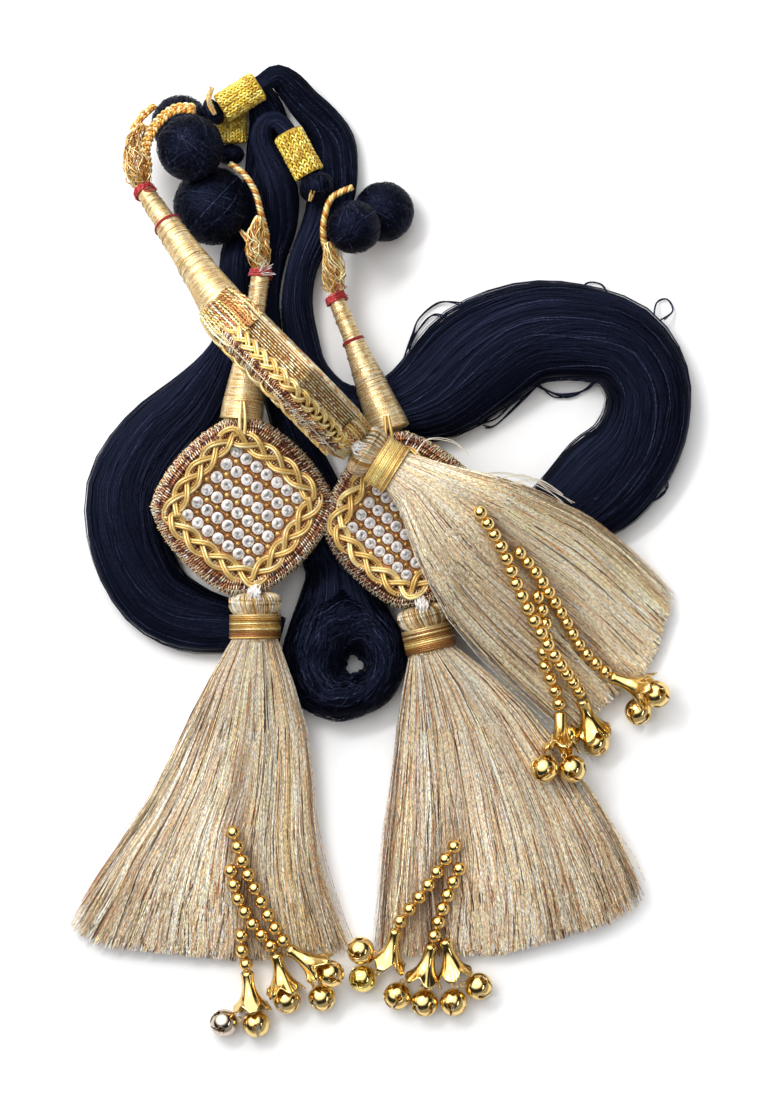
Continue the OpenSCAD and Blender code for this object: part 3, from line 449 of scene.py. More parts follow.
class Stuff:
    """Gathers many small shapes, each with its tint, into one mesh."""

    def __init__(self):
        self.points, self.tints, self.along, self.quads, self.triangles = [], [], [], [], []
        self.count = 0

    def add(self, points, tints, quads=None, triangles=None, along=0.0):
        points = np.asarray(points, float).reshape(-1, 3)
        self.points.append(points)
        self.along.append(np.broadcast_to(along, len(points)))
        self.tints.append(np.broadcast_to(np.asarray(tints, float).reshape(-1, 3), points.shape))
        if quads is not None:
            self.quads.append(np.asarray(quads).reshape(-1, 4) + self.count)
        if triangles is not None:
            self.triangles.append(np.asarray(triangles).reshape(-1, 3) + self.count)
        self.count += len(points)

    @staticmethod
    def each(tints, n, k):
        """A tint for each point of n paths, from one tint, one a path, or one a point."""
        tints = np.asarray(tints, float)
        if tints.ndim < 3:
            tints = np.broadcast_to(tints, (n, 3))[:, None]
        return np.broadcast_to(tints, (n, k, 3)).reshape(-1, 3)

    def tubes(self, paths, radius, sides, tints, square_to=None, closed=False):
        """Round tubes along paths of equal length."""
        paths = np.asarray(paths, float)
        n, k = paths.shape[:2]
        if closed:
            t = unit(np.roll(paths, -1, axis=1) - np.roll(paths, 1, axis=1))
        else:
            t = unit(np.gradient(paths, axis=1))
        side = unit(np.cross(t, NEARLY_UP if square_to is None else square_to))
        up = np.cross(side, t)
        a = np.arange(sides) * TAU / sides
        r = np.broadcast_to(radius, (n, k))[..., None, None]
        ring = paths[:, :, None] + r * (np.cos(a)[:, None] * side[:, :, None] + np.sin(a)[:, None] * up[:, :, None])
        index = np.arange(n * k * sides).reshape(n, k, sides)
        here = index if closed else index[:, :-1]
        ahead = np.roll(index, -1, axis=1) if closed else index[:, 1:]
        quads = np.stack([here, np.roll(here, -1, axis=2), np.roll(ahead, -1, axis=2), ahead], axis=-1)
        self.add(ring, np.repeat(self.each(tints, n, k), sides, axis=0), quads=quads)

    def ribbons(self, paths, width, facing, tints):
        """Flat ribbons along paths of equal length, with their faces turned to facing."""
        n, k = paths.shape[:2]
        side = unit(np.cross(unit(np.gradient(paths, axis=1)), facing))
        w = np.broadcast_to(width, (n, k))[..., None] / 2
        edges = np.stack([paths - side * w, paths + side * w], axis=2)
        index = np.arange(n * k * 2).reshape(n, k, 2)
        quads = np.stack([index[:, :-1, 0], index[:, :-1, 1], index[:, 1:, 1], index[:, 1:, 0]], axis=-1)
        ran = np.cumsum(np.linalg.norm(np.diff(paths, axis=1, prepend=paths[:, :1]), axis=2), axis=1)
        along = np.repeat((ran + vary(0, 9000, n)).ravel(), 2)
        self.add(edges, np.repeat(self.each(tints, n, k), 2, axis=0), quads=quads, along=along)

    def rings(self, rings, tint, closed=False, caps=True):
        """A skin through rings of points, all with the same number. One tint, or one a ring or a point."""
        rings = np.asarray(rings, float)
        k, n = rings.shape[:2]
        index = np.arange(k * n).reshape(k, n)
        here = index if closed else index[:-1]
        ahead = np.roll(index, -1, axis=0) if closed else index[1:]
        quads = np.stack([here, np.roll(here, -1, axis=1), np.roll(ahead, -1, axis=1), ahead], axis=-1)
        tint = np.asarray(tint, float)
        tints = np.repeat(tint, n, axis=0) if tint.ndim == 2 else tint.reshape(-1, 3)
        base = self.count
        self.add(rings, tints, quads=quads)
        if caps and not closed:
            for ring, flip in ((0, True), (k - 1, False)):
                ids = index[ring] + base
                middle = self.count
                self.add(rings[ring].mean(axis=0)[None], tints[:1])
                fan = np.stack([np.full(n, middle), ids, np.roll(ids, -1)], axis=-1)
                self.triangles.append(fan[:, ::-1] if flip else fan)

    def piece(self, name, material, slot, *nodes, flat=False):
        """Turns it all into an object that stands for the named nodes."""
        points = np.vstack(self.points) * MM
        points[:, 2] = np.maximum(points[:, 2], FLOOR_GAP)
        tints = np.vstack(self.tints)
        faces = [np.vstack(f) for f in (self.quads, self.triangles) if f]
        sizes = np.concatenate([np.full(len(f), f.shape[1]) for f in faces])
        mesh = bpy.data.meshes.new(name)
        mesh.vertices.add(len(points))
        mesh.vertices.foreach_set("co", points.ravel())
        corners = np.concatenate([f.ravel() for f in faces]).astype(np.int32)
        mesh.loops.add(len(corners))
        mesh.loops.foreach_set("vertex_index", corners)
        mesh.polygons.add(len(sizes))
        mesh.polygons.foreach_set("loop_start", np.concatenate([[0], np.cumsum(sizes)[:-1]]).astype(np.int32))
        mesh.polygons.foreach_set("use_smooth", np.full(len(sizes), not flat))
        tint = mesh.color_attributes.new("tint", "FLOAT_COLOR", "POINT")
        tint.data.foreach_set("color", np.hstack([tints, np.ones((len(tints), 1))]).astype(np.float32).ravel())
        along = mesh.attributes.new("along", "FLOAT", "POINT")
        along.data.foreach_set("value", np.concatenate(self.along).astype(np.float32))
        mesh.update(calc_edges=True)
        mesh.validate()
        mesh.materials.append(material)
        thing = linked(name, mesh)
        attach(thing, "root")
        if nodes:
            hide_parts(*nodes)
        return thing


# ---------------------------------------------------------------- materials

def shader_node(tree, kind, inputs=(), **settings):
    """A shader node with its settings, then its inputs, each a value or another node's output."""
    made = tree.nodes.new("ShaderNode" + kind)
    for name, value in settings.items():
        setattr(made, name, value)
    set_inputs(tree, made, inputs)
    return made


def set_inputs(tree, node, inputs):
    for name, value in dict(inputs).items():
        if isinstance(value, bpy.types.NodeSocket):
            tree.links.new(value, node.inputs[name])
        else:
            node.inputs[name].default_value = value


def tinted(name, metallic, roughness, grain, depth, sheen=0.0, coat=0.0, spread=0.25, colour=None,
           specular=0.5, glow=WHITE[0], strand=False):
    """A material whose colour is the strands' own tint, broken up by fine grain, or along each strand."""
    material = bpy.data.materials.new(name)
    material.use_nodes = True
    tree = material.node_tree
    grains = {"Scale": grain, "Detail": 3}
    if strand:
        grains["W"] = shader_node(tree, "Attribute", attribute_name="along").outputs["Fac"]
    else:
        grains["Vector"] = shader_node(tree, "TexCoord").outputs["Object"]
    noise = shader_node(tree, "TexNoise", grains, noise_dimensions="1D" if strand else "3D")
    speckle = noise.outputs["Fac"]
    strength = shader_node(tree, "MapRange", {
        "Value": speckle, "From Min": 0.3, "From Max": 0.7, "To Min": 1 - spread, "To Max": 1 + spread,
    })
    tint = (*colour, 1) if colour else shader_node(tree, "Attribute", attribute_name="tint").outputs["Color"]
    mix = shader_node(tree, "Mix", {
        "Factor": 1.0, "A": tint, "B": strength.outputs["Result"],
    }, data_type="RGBA", blend_type="MULTIPLY")
    rough = shader_node(tree, "MapRange", {
        "Value": speckle, "To Min": max(roughness - 0.08, 0.02), "To Max": roughness + 0.08,
    })
    bump = shader_node(tree, "Bump", {"Height": speckle, "Strength": depth, "Distance": 0.0002})
    set_inputs(tree, tree.nodes["Principled BSDF"], {
        "Base Color": mix.outputs["Result"],
        "Roughness": rough.outputs["Result"],
        "Normal": bump.outputs["Normal"],
        "Metallic": metallic,
        "Sheen Weight": sheen,
        "Sheen Roughness": 0.35,
        "Sheen Tint": (*glow, 1),
        "Specular IOR Level": specular,
        "Specular Tint": (*glow, 1),
        "Coat Weight": coat,
    })
    return material


BLACK_THREAD = tinted(
    "black_thread", 0.0, 0.5, 0.9, 1.0, sheen=0.035, spread=0.75, specular=0.2, glow=(0.36, 0.46, 1.0), strand=True,
)
METAL_THREAD = tinted("metal_thread", 0.6, 0.32, 2600, 0.5, spread=0.42)
FRINGE_THREAD = tinted("fringe_thread", 0.28, 0.34, 0.8, 0.2, spread=0.5, strand=True)
SATIN_CORD = tinted("satin_cord", 0.35, 0.34, 1500, 0.2, spread=0.15)
SOFT_THREAD = tinted("soft_thread", 0.1, 0.6, 2800, 0.5, sheen=0.2)
SOFT_GOLD = tinted("soft_gold_thread", 0.4, 0.5, 2800, 0.3, colour=(0.62, 0.42, 0.16))
GOLD_METAL = tinted("gold_metal", 1.0, 0.13, 900, 0.05, spread=0.1)
CRYSTAL = tinted("crystal", 0.15, 0.06, 1500, 0.0, coat=1.0, spread=0.06)


# ---------------------------------------------------------------- skeins

def skein(lie, strands, plies, turns):
    """Fine black threads that run side by side round a soft oval core, in a few loose plies."""
    rows = smooth_rows(lie, 3)
    _, side, up = axes_along(rows[:, :3])
    k = len(rows)
    stuff = Stuff()
    share = np.linspace(0, 1, k)
    a = full_turn(24)
    groove = 0.915 + 0.045 * np.cos(plies * a[None, :] - TAU * turns * share[:, None])
    half_w, half_h = rows[:, 3:4] / 2, rows[:, 4:5] / 2
    core = (
        rows[:, None, :3]
        + side[:, None] * (oval(np.cos(a)) * groove * half_w)[..., None]
        + up[:, None] * (oval(np.sin(a)) * groove * half_h)[..., None]
    )
    # painted shade: the core, in the darkest black, shows as shade between and under the threads
    stuff.rings(core, BLACKS[0])
    start = vary(-0.5, math.pi + 0.5, strands) + np.where(chance(strands, 0.2), math.pi, 0)
    angle = start + TAU * turns / plies * share[None, :] * 0.5 + wander(strands, k, 7, 0.1)
    ply = 0.955 + 0.045 * np.cos(plies * angle - TAU * turns * share[None, :])
    out = ply + wander(strands, k, 5, 0.014) + vary(-0.03, 0.035, strands)
    strays = np.where(chance(strands, 0.06), vary(0.02, 0.1, strands), 0.0)
    out = out + strays * np.clip(wander(strands, k, 9, 1.0) - 0.7, 0, 1)
    c, s = np.cos(angle), np.sin(angle)
    paths = (
        rows[None, :, :3]
        + side[None] * (oval(c) * out * half_w[None, :, 0])[..., None]
        + up[None] * (oval(s) * out * half_h[None, :, 0])[..., None]
    )
    paths[..., 2] = np.maximum(paths[..., 2], THREAD_Z)
    facing = side[None] * c[..., None] * 0.6 + up[None] * (s + 0.4)[..., None] + tilt(strands, 0.3)
    stuff.ribbons(paths, vary(0.18, 0.4, strands), facing, blacks(strands, k))
    return stuff


def loose_loops(stuff, loops, colours, radius):
    """Stray threads in pairs, the second a little beside the first."""
    for loop in loops:
        for i in range(2):
            aside = rng.normal(size=(len(loop), 3)) * [0.5, 0.5, 0.1] * (i > 0)
            stuff.tubes(smooth_rows(np.asarray(loop) + aside, 6)[None], radius, 4, pick(colours, 1))
    return stuff


def hair_knot():
    """The coil that gathers the hair ends, wound round and over itself about a small eye."""
    centre = np.asarray(HAIR_KNOT["centre"], float)
    r, w, h, stretch, eye = (HAIR_KNOT[key] for key in ("r", "w", "h", "stretch", "eye"))
    stuff = Stuff()

    def on_coil(phi, theta, out):
        """A place on the coil, whose eye is a rounded triangle to one side of its middle."""
        lobes = out * (1 + 0.05 * np.cos(3 * phi - theta + 0.6) + 0.02 * np.cos(8 * phi + 2 * theta))
        reach = r + np.cos(theta) * w / 2 * lobes
        aside = (1 - np.cos(theta)) / 2
        return centre + np.stack([
            np.cos(phi) * reach + aside * eye[0],
            np.sin(phi) * reach * stretch + aside * eye[1],
            np.sin(theta) * h / 2 * lobes,
        ], axis=-1)

    turn, around = np.meshgrid(full_turn(64), full_turn(20), indexing="ij")
    # painted shade: the coil's core, in the darkest black, shows as shade between the threads
    stuff.rings(on_coil(turn, around, 0.92), BLACKS[0], closed=True)
    strands, k = 640, 20
    s = np.linspace(0, 1, k)[None, :]
    phi = vary(0, TAU, strands) + vary(1.2, 2.8, strands) * s
    theta = vary(0, TAU, strands) + vary(0.1, 1.3, strands) * s + wander(strands, k, 3, 0.1)
    out = 0.98 + wander(strands, k, 3, 0.015) + vary(-0.03, 0.04, strands)
    paths = on_coil(phi, theta, out)
    paths[..., 2] = np.maximum(paths[..., 2], THREAD_Z)
    facing = on_coil(phi, theta, out + 0.2) - paths + tilt(strands, 0.5)
    stuff.ribbons(paths, vary(0.2, 0.42, strands), facing, blacks(strands, k))
    # the skein's threads spread out over the top of the coil and turn down its two sides
    strands, k = 420, 16
    x0, y0, z0, half_w, half_h = KNOT_SPREAD
    s = np.linspace(0, 1, k)[None, :]
    way = np.where(chance(strands, 0.6), 1.0, -1.0)
    theta = vary(-0.3, 2.3, strands) + wander(strands, k, 3, 0.06)
    phi = math.pi / 2 + way * (0.1 + vary(1.4, 2.6, strands) * s)
    coil = on_coil(phi, theta, 1.02 + wander(strands, k, 3, 0.012))
    off = -way * (1 - np.clip(theta, 0, 2.4) / 2.5) + 0 * s
    skein_top = np.stack([
        x0 + off * half_w, y0 - 13 * s + 0 * off, z0 + half_h * np.sqrt(np.maximum(1 - off**2, 0)) + 0.2,
    ], axis=-1)
    turned = np.clip(s / 0.5, 0, 1)[..., None]
    turned = turned**2 * (3 - 2 * turned)
    paths = skein_top * (1 - turned) + coil * turned
    paths[..., 2] = np.maximum(paths[..., 2], THREAD_Z)
    facing = (on_coil(phi, theta, 1.3) - coil) * turned + np.stack([off, 0 * off, 1 + 0 * off], axis=-1) * (1 - turned)
    facing = unit(facing) + tilt(strands, 0.3)
    stuff.ribbons(paths, vary(0.2, 0.42, strands), facing, blacks(strands, k))
    return stuff


# ---------------------------------------------------------------- thread balls and collars

def wound_ball(centre, axis, r, h, turns):
    """A soft ball of black thread wound every way round."""
    stuff = Stuff()
    to_world = np.stack(basis(axis))
    lat = np.linspace(-math.pi / 2, math.pi / 2, 13)
    lon = full_turn(24)
    ball = np.stack([
        np.cos(lat)[:, None] * np.cos(lon), np.cos(lat)[:, None] * np.sin(lon), np.repeat(np.sin(lat)[:, None], 24, 1),
    ], axis=-1) * [r * 0.95, r * 0.95, h * 0.95]
    # painted shade: the core, in the darkest black, shows as shade between the threads
    stuff.rings(np.asarray(centre) + ball @ to_world, BLACKS[0])
    k = 16
    pole = unit(rng.normal(size=(turns, 3)) * [1.0, 1.0, 0.55])
    first = unit(np.cross(pole, rng.normal(size=(turns, 3))))
    second = np.cross(pole, first)
    phi = vary(0, TAU, turns) + np.linspace(0, 1, k)[None] * vary(2.6, 5.6, turns)
    circle = np.cos(phi)[..., None] * first[:, None] + np.sin(phi)[..., None] * second[:, None]
    out = 0.98 + vary(-0.015, 0.05, turns) + wander(turns, k, 3, 0.012)
    paths = np.asarray(centre) + (circle * out[..., None] * [r, r, h]) @ to_world
    facing = (circle / [r, r, h] * r) @ to_world + tilt(turns, 0.25)
    stuff.ribbons(paths, vary(0.18, 0.36, turns), facing, blacks(turns, k))
    return stuff


def collar(foot, top):
    """A knitted tube: columns of V stitches round a thin sleeve."""
    stuff = Stuff()
    foot, top = np.asarray(foot, float), np.asarray(top, float)
    length = np.linalg.norm(top - foot)
    x, y, z = basis(top - foot)
    r = COLLAR_D / 2 - 0.55
    lon = full_turn(32)
    ring = wheel(lon, x, y)
    profile = [[0.4, r - 0.9], [0, r - 0.3], [0, r], [length, r], [length, r - 0.3], [length - 0.4, r - 0.9]]
    # painted shade: the sleeve, in the darkest gold, shows as the dark gaps between the stitches
    stuff.rings([foot + z * at + ring * radius for at, radius in profile], COLLAR[2], caps=False)
    columns, rows = 15, 10
    for row in range(rows):
        for column in range(columns):
            middle = (column + 0.5) / columns * TAU
            for way in (-1, 1):
                s = np.linspace(0, 1, 4)
                angle = middle + way * TAU / columns * (0.04 + 0.40 * s) + rng.uniform(-0.02, 0.02)
                at = (row + 0.1 + 1.25 * s) / rows * length * 0.94
                out = r + 0.25 + 0.3 * np.sin(math.pi * s) + rng.uniform(-0.05, 0.05)
                path = foot + np.outer(at, z) + out[:, None] * wheel(angle, x, y)
                stuff.tubes(path[None], [[0.22, 0.34, 0.34, 0.2]], 5, pick(COLLAR, 1))
    return stuff


# ---------------------------------------------------------------- cords, ties and cones

def twisted(stuff, path, radius, plies, pitch, colours, sides, square_to=None):
    """Plies wound round a path as a rope."""
    t = unit(np.gradient(path, axis=0))
    steps = np.linalg.norm(np.diff(path, axis=0, append=path[-1:]), axis=1)
    total = steps.sum()
    ran = np.concatenate([[0], np.cumsum(steps)[:-1]])
    turns = total / pitch
    side = unit(np.cross(t, NEARLY_UP if square_to is None else square_to))
    up = np.cross(side, t)
    for ply in range(plies):
        a = TAU * (turns * ran / total + ply / plies)
        line = path + radius * 0.52 * (np.cos(a)[:, None] * side + np.sin(a)[:, None] * up)
        stuff.tubes(line[None], radius * 0.56, sides, pick(colours, 1), square_to)


def braid(stuff, path, side, up, width, height, pitch, colours, threads, radius, closed=False):
    """Three strands of a few threads each, plaited flat along a path."""
    ahead = closed_steps(path) if closed else np.diff(path, axis=0, append=path[-1:])
    steps = np.linalg.norm(ahead, axis=1)
    ran = np.concatenate([[0], np.cumsum(steps)[:-1]])
    waves = steps.sum() / pitch
    phase = TAU * (round(waves) if closed else waves) * ran / steps.sum()
    for strand in range(3):
        p = phase + TAU * strand / 3
        for thread in range(threads):
            off = (thread - (threads - 1) / 2) * radius * 2.05
            across = np.sin(p) * (width / 2 - radius * threads)
            reach = across + off * (0.7 + 0.3 * np.abs(np.cos(p)))
            line = path + side * reach[:, None] + up * (np.sin(2 * p) * height / 2)[:, None]
            stuff.tubes(line[None], radius, 4, pick(colours, 1), up, closed)


def yarns(stuff, line, widths, count, colours):
    """Soft wavy yarns that run together along a line, wider or narrower as widths say. A few end early."""
    path = smooth_rows(line, 5)
    k = len(path)
    _, side, up = axes_along(path)
    wide = np.interp(np.linspace(0, 1, k), np.linspace(0, 1, len(widths)), widths)
    s = np.linspace(0, 1, k)[None]
    angle = vary(0, TAU, count) + 1.6 * s + wander(count, k, 3, 0.35)
    out = (vary(0.1, 1.0, count) ** 0.5 + wander(count, k, 4, 0.07)) * wide
    ends = np.where(chance(count, 0.25), vary(0.4, 0.9, count), 1.0)
    at = np.clip(s * ends, 0, 1) * (k - 1)
    low = np.minimum(at.astype(int), k - 2)
    part = (at - low)[..., None]
    middle, side, up = (rows[low] * (1 - part) + rows[low + 1] * part for rows in (path, side, up))
    spread = np.where(ends < 1, 1 + 0.5 * s**3, 1.0) * out
    paths = middle + side * (np.cos(angle) * spread)[..., None] + up * (np.sin(angle) * spread * 0.7)[..., None]
    stuff.tubes(paths, 0.22, 3, pick(colours, count, spread=0.25))


def brush(stuff, foot, end, foot_r, end_r, count, colours, radius):
    """A few thread ends that spread from foot to end."""
    foot, end = np.asarray(foot, float), np.asarray(end, float)
    x, y, _ = basis(end - foot)
    s = np.linspace(0, 1, 7)[None, :, None]
    place = rng.normal(size=(count, 2)) * [0.5, 0.3]
    shift = place[:, :1] * x + place[:, 1:] * y
    curl = rng.normal(size=(count, 3)) * 0.12 * np.linalg.norm(end - foot)
    t = s * rng.uniform(0.4, 1.1, (count, 1, 1))
    paths = foot + (end - foot) * t + shift[:, None] * (foot_r + (end_r - foot_r) * t) + curl[:, None] * t**2
    stuff.tubes(paths, radius, 3, pick(colours, count))


def cords(letter):
    """The orange-gold cords that come down from the thread balls, and the tuft where they are tied."""
    stuff = Stuff()
    for i, lie in enumerate(CORDS[letter]):
        path = resampled(smooth_rows(lie, 8), 80)
        if letter == "b":
            _, side, up = axes_along(path)
            braid(stuff, path, side, up, 3.8 - i, 1.8, 5.2, ORANGE, 2, 0.46)
        elif i == 0:
            twisted(stuff, path, 1.05, 3, 3.6, ORANGE, 5)
    for line, widths, count in TUFTS[letter]:
        yarns(stuff, line, widths, count, ORANGE)
    return stuff


def helix_on(profile, foot, along, first, last, pitch, lift):
    """Points that wind round a turned shape. profile holds distance and radius."""
    x, y, z = basis(along)
    turns = (last - first) / pitch
    a = np.linspace(0, TAU * turns, max(int(turns * 30), 8))
    at = first + (last - first) * a / (TAU * turns)
    r = np.interp(at, profile[:, 0], profile[:, 1]) + lift
    return foot + np.outer(at, z) + r[:, None] * wheel(a, x, y)


def cone_shape(letter):
    """Foot, way and length of a cone, and its radius at distances from its foot."""
    foot, end, profile = CONES[letter]
    foot, end = np.asarray(foot, float), np.asarray(end, float)
    length = np.linalg.norm(end - foot)
    return foot, end - foot, length, np.array(profile, float) * [length, 1]


def cone(letter):
    """Gold thread wound closely over a cone, its tone changing along the thread."""
    foot, way, length, shape = cone_shape(letter)
    x, y, z = basis(way)
    pitch, per_turn = 0.46, 3
    rows = int(length / pitch * per_turn)
    lon = np.arange(26) / 26
    tone = rng.uniform(0, 1, rows // per_turn * 14 + 40) ** 1.2
    shades = np.array(CONE_GOLD)
    ring = np.outer(np.cos(TAU * lon), x) + np.outer(np.sin(TAU * lon), y)
    rings, tints = [], []
    for row in range(rows + 1):
        at = row / rows * length
        phase = row / per_turn + lon
        r = np.interp(at, shape[:, 0], shape[:, 1]) - 0.12 + 0.11 * np.cos(TAU * phase)
        rings.append(foot + z * at + r[:, None] * ring)
        value = np.interp(phase * 14, np.arange(len(tone)), tone) * (len(shades) - 1)
        low = np.clip(value.astype(int), 0, len(shades) - 2)
        part = (value - low)[:, None]
        tints.append(shades[low] * (1 - part) + shades[low + 1] * part)
    stuff = Stuff()
    stuff.rings(rings, np.array(tints))
    for _ in range(12):
        at = rng.uniform(0.08, 0.96) * length
        path = helix_on(shape, foot, way, at, min(at + rng.uniform(0.4, 1.4), length - 0.3), 1.4, 0.1)
        stuff.tubes(path[None], 0.13, 4, pick(PALE_GOLD, 1), z)
    return stuff


def ties(letter):
    """Red thread tied round the cone's small end, with its cut ends and the narrow bands lower down."""
    foot, way, length, shape = cone_shape(letter)
    z = unit(way)
    stuff = Stuff()
    for start in (0.4, 0.55):
        path = helix_on(shape, foot, way, start, start + 2.4, 0.8, 0.5)
        twisted(stuff, path, 0.42, 2, 1.6, RED, 4, square_to=z)
    for share in RED_BANDS[letter]:
        path = helix_on(shape, foot, way, share * length, share * length + 0.9, 0.5, 0.2)
        stuff.tubes(path[None], 0.24, 4, pick(RED, 1), z)
    knot = foot + z * 1.4 + np.array([0, 0, 1.0]) * (shape[1, 1] + 0.6)
    ends = RED + WHITE * (3 if letter == "a" else 0)
    brush(stuff, knot, knot + [3.4, 2.2, 1.2], 0.8, 3.4, 26 if letter == "a" else 9, ends, 0.14)
    return stuff


# ---------------------------------------------------------------- medallions

class Medallion:
    """One square padded medallion, hung by its corner."""

    def __init__(self, letter):
        centre, to_cone, front, self.left, self.row_turn = MEDALLIONS[letter]
        self.centre = np.asarray(centre, float)
        self.y = unit(to_cone)
        self.x = unit(np.cross(self.y, front))
        self.z = np.cross(self.x, self.y)
        self.squashed = self.left < 25

    def world(self, points):
        points = np.asarray(points, float)
        return self.centre + points[..., :1] * self.x + points[..., 1:2] * self.y + points[..., 2:] * self.z

    def edge(self, half, left, squareness, clip, count, turn=0.0):
        """Points round a rounded diamond, evenly spaced, in the medallion's own plane."""
        a = np.linspace(0, TAU, 720, endpoint=False)
        wide = np.where(np.cos(a) < 0, left, half)
        r = ((np.abs(np.cos(a)) / wide) ** squareness + (np.abs(np.sin(a)) / half) ** squareness) ** (-1 / squareness)
        r = np.minimum(r, clip / np.maximum(np.abs(np.sin(a)), 1e-6))
        path = np.stack([r * np.cos(a + turn), r * np.sin(a + turn), 0 * a], axis=1)
        return resampled(path, count, closed=True)

    def rim(self, inset, count):
        return self.edge(MEDALLION_R - inset, self.left - inset, MEDALLION_SQUARE, CLIP_END - inset, count)

    def border(self, out, count):
        left = BORDER_LEFT_C if self.squashed else BORDER_HALF
        return self.edge(BORDER_HALF + out, left + out, 1.2, 40, count, math.radians(self.row_turn + 45))

    def outward(self, path):
        return np.cross(closed_way(path), [0, 0, 1.0])

    def aside(self, path):
        """The world's step outwards from each point of a path round the medallion."""
        return self.world(path + self.outward(path)) - self.world(path)

    def squeeze(self, points):
        if self.squashed:
            points = points.copy()
            points[:, 0] = np.where(points[:, 0] < 0, points[:, 0] * SQUEEZE, points[:, 0])
        return points

    def grid(self, rows, columns, row_pitch, pitch):
        """Places in rows over the panel, turned as the stones are."""
        i, row = np.meshgrid(np.arange(columns), np.arange(rows))
        along = (i.ravel() - (columns - 1) / 2) * pitch
        over = (row.ravel() - (rows - 1) / 2) * row_pitch
        return self.turned(along, over, 0.0)

    def turned(self, along, over, z):
        """Points of the panel, along and across the rows of stones."""
        turn = math.radians(self.row_turn)
        return self.squeeze(np.stack([
            along * math.cos(turn) - over * math.sin(turn),
            along * math.sin(turn) + over * math.cos(turn),
            np.full(len(along), z),
        ], axis=1))


def medallion_body(letter):
    """The padded body, the gimps laid round its wall and rim, and the dots between the stones."""
    m = Medallion(letter)
    body = Stuff()
    rings = []
    for z, inset in MEDALLION_SECTION:
        path = m.rim(inset + 0.5, 64)
        path[:, 2] = z if z < 6.5 else z - 0.3
        rings.append(m.world(path))
    body.rings(rings, COPPER[0])
    trim = Stuff()

    def ring_path(z, inset, points):
        path = m.rim(inset, points)
        path[:, 2] = z
        return path

    def hoop(path, radius, sides, tints):
        """A closed tube along a path round the medallion."""
        trim.tubes(m.world(path)[None], radius, sides, tints, m.z, closed=True)

    def zigzag(path, pitch, sway, radius, tint):
        """A bright wire bent to and fro across a path."""
        count = round(np.linalg.norm(closed_steps(path), axis=1).sum() / pitch) * 2
        path = resampled(path, count, closed=True)
        way = np.where(np.arange(count) % 2 == 0, 1, -1)[:, None] * sway
        hoop(path + m.outward(path) * way, radius, 3, tint)

    # the outermost wire at the back, then granular gold gimp side by side on the wall
    zigzag(ring_path(-6.2, 0.0, 400), 1.5, 0.7, 0.32, BACK_WIRES[0])
    zigzag(ring_path(-5.4, 0.2, 400), 1.5, 0.5, 0.3, BACK_WIRES[1])
    for z, inset in ((-6.8, 1.0), (-7.15, 2.5), (-7.45, 4.1)):
        hoop(ring_path(z, inset, 160), 0.7, 3, pick(PALE_GOLD + COPPER[1:2], 160)[None])
    for z in np.linspace(-4.6, -0.6, 6):
        count = 300
        tints = pick(PALE_GOLD + COPPER[:1] + BRONZE[:1], count, spread=0.3)[None]
        radii = rng.uniform(0.3, 0.52, (1, count))
        hoop(ring_path(z, 0.75, count), radii, 3, tints)
    # a large yellow plait round the wall
    path = ring_path(2.3, -0.1, 240)
    braid(trim, m.world(path), m.z, m.aside(path), 5.8, 1.4, 15.0, YELLOW, 2, 0.5, True)
    # fuzzy copper and dark wire gimp at the front edge, with a bright zigzag at the very edge
    for z, inset, r in ((4.7, -0.1, 1.1), (6.0, 1.1, 1.2), (6.9, 2.9, 1.1)):
        hoop(ring_path(z, inset, 120), r * 0.75, 4, COPPER[2])
        gimp(trim, m, ring_path(z, inset, 400), r, 0.8, GIMP)
    zigzag(ring_path(6.4, -0.2, 400), 1.3, 0.8, 0.24, EDGE_WIRE)
    # gimp under the plait
    for out, r, colours in ((-1.6, 1.0, GIMP[:2] + BRONZE), (1.5, 1.1, GIMP)):
        path = m.border(out, 300)
        path[:, 2] = RIM_Z - 0.5
        hoop(path[::3], r * 0.8, 4, BRONZE[2])
        gimp(trim, m, path, r, 0.8, colours)
    # dots between the stones
    dots = m.grid(7, 8, ROW_PITCH, STONE_PITCH)
    dots[:, 2] = PANEL_Z + 0.1
    add_domes(trim, m, dots, 0.95, 0.5, DOTS)
    # fine thread that covers the panel
    lines = []
    for at in np.linspace(-13.5, 13.5, 40):
        line = np.linspace([-14.4, at], [14.4, at], 6)
        lines.append(m.world(m.turned(line[:, 0], line[:, 1], PANEL_Z + 0.02)))
    trim.tubes(np.array(lines), 0.34, 3, pick(PANEL_THREADS, len(lines)), m.z)
    # the cords of the medallion that stands on its edge gather at its two corners
    if letter == "b":
        for corner in CORNER_CORDS:
            for over in np.linspace(-1, 1, 17):
                path = smooth_rows([
                    [x - drop * over**2, y, half * over + rng.normal() * 0.15] for x, y, half, drop in corner
                ], 4)
                twisted(trim, m.world(path), 0.62, 2, 2.6, YELLOW + PALE_GOLD + COPPER[:2], 4)
    return body, trim


def gimp(stuff, m, path, radius, pitch, colours):
    """Springy wire coiled round a closed path, a little uneven, each turn in its own tint."""
    points = 4
    turns = round(np.linalg.norm(closed_steps(path), axis=1).sum() / pitch)
    path = m.world(resampled(path, turns * points, closed=True))
    side = np.cross(closed_way(path), m.z)
    a = np.arange(len(path)) * TAU / points
    uneven = np.repeat(rng.uniform(0.8, 1.25, turns), points) * rng.uniform(0.85, 1.15, len(path))
    line = path + (np.cos(a)[:, None] * side + np.sin(a)[:, None] * m.z) * (radius * uneven)[:, None]
    tints = np.repeat(pick(colours, turns, spread=0.3), points, axis=0)
    stuff.tubes(line[None], 0.25, 3, tints[None], None, closed=True)


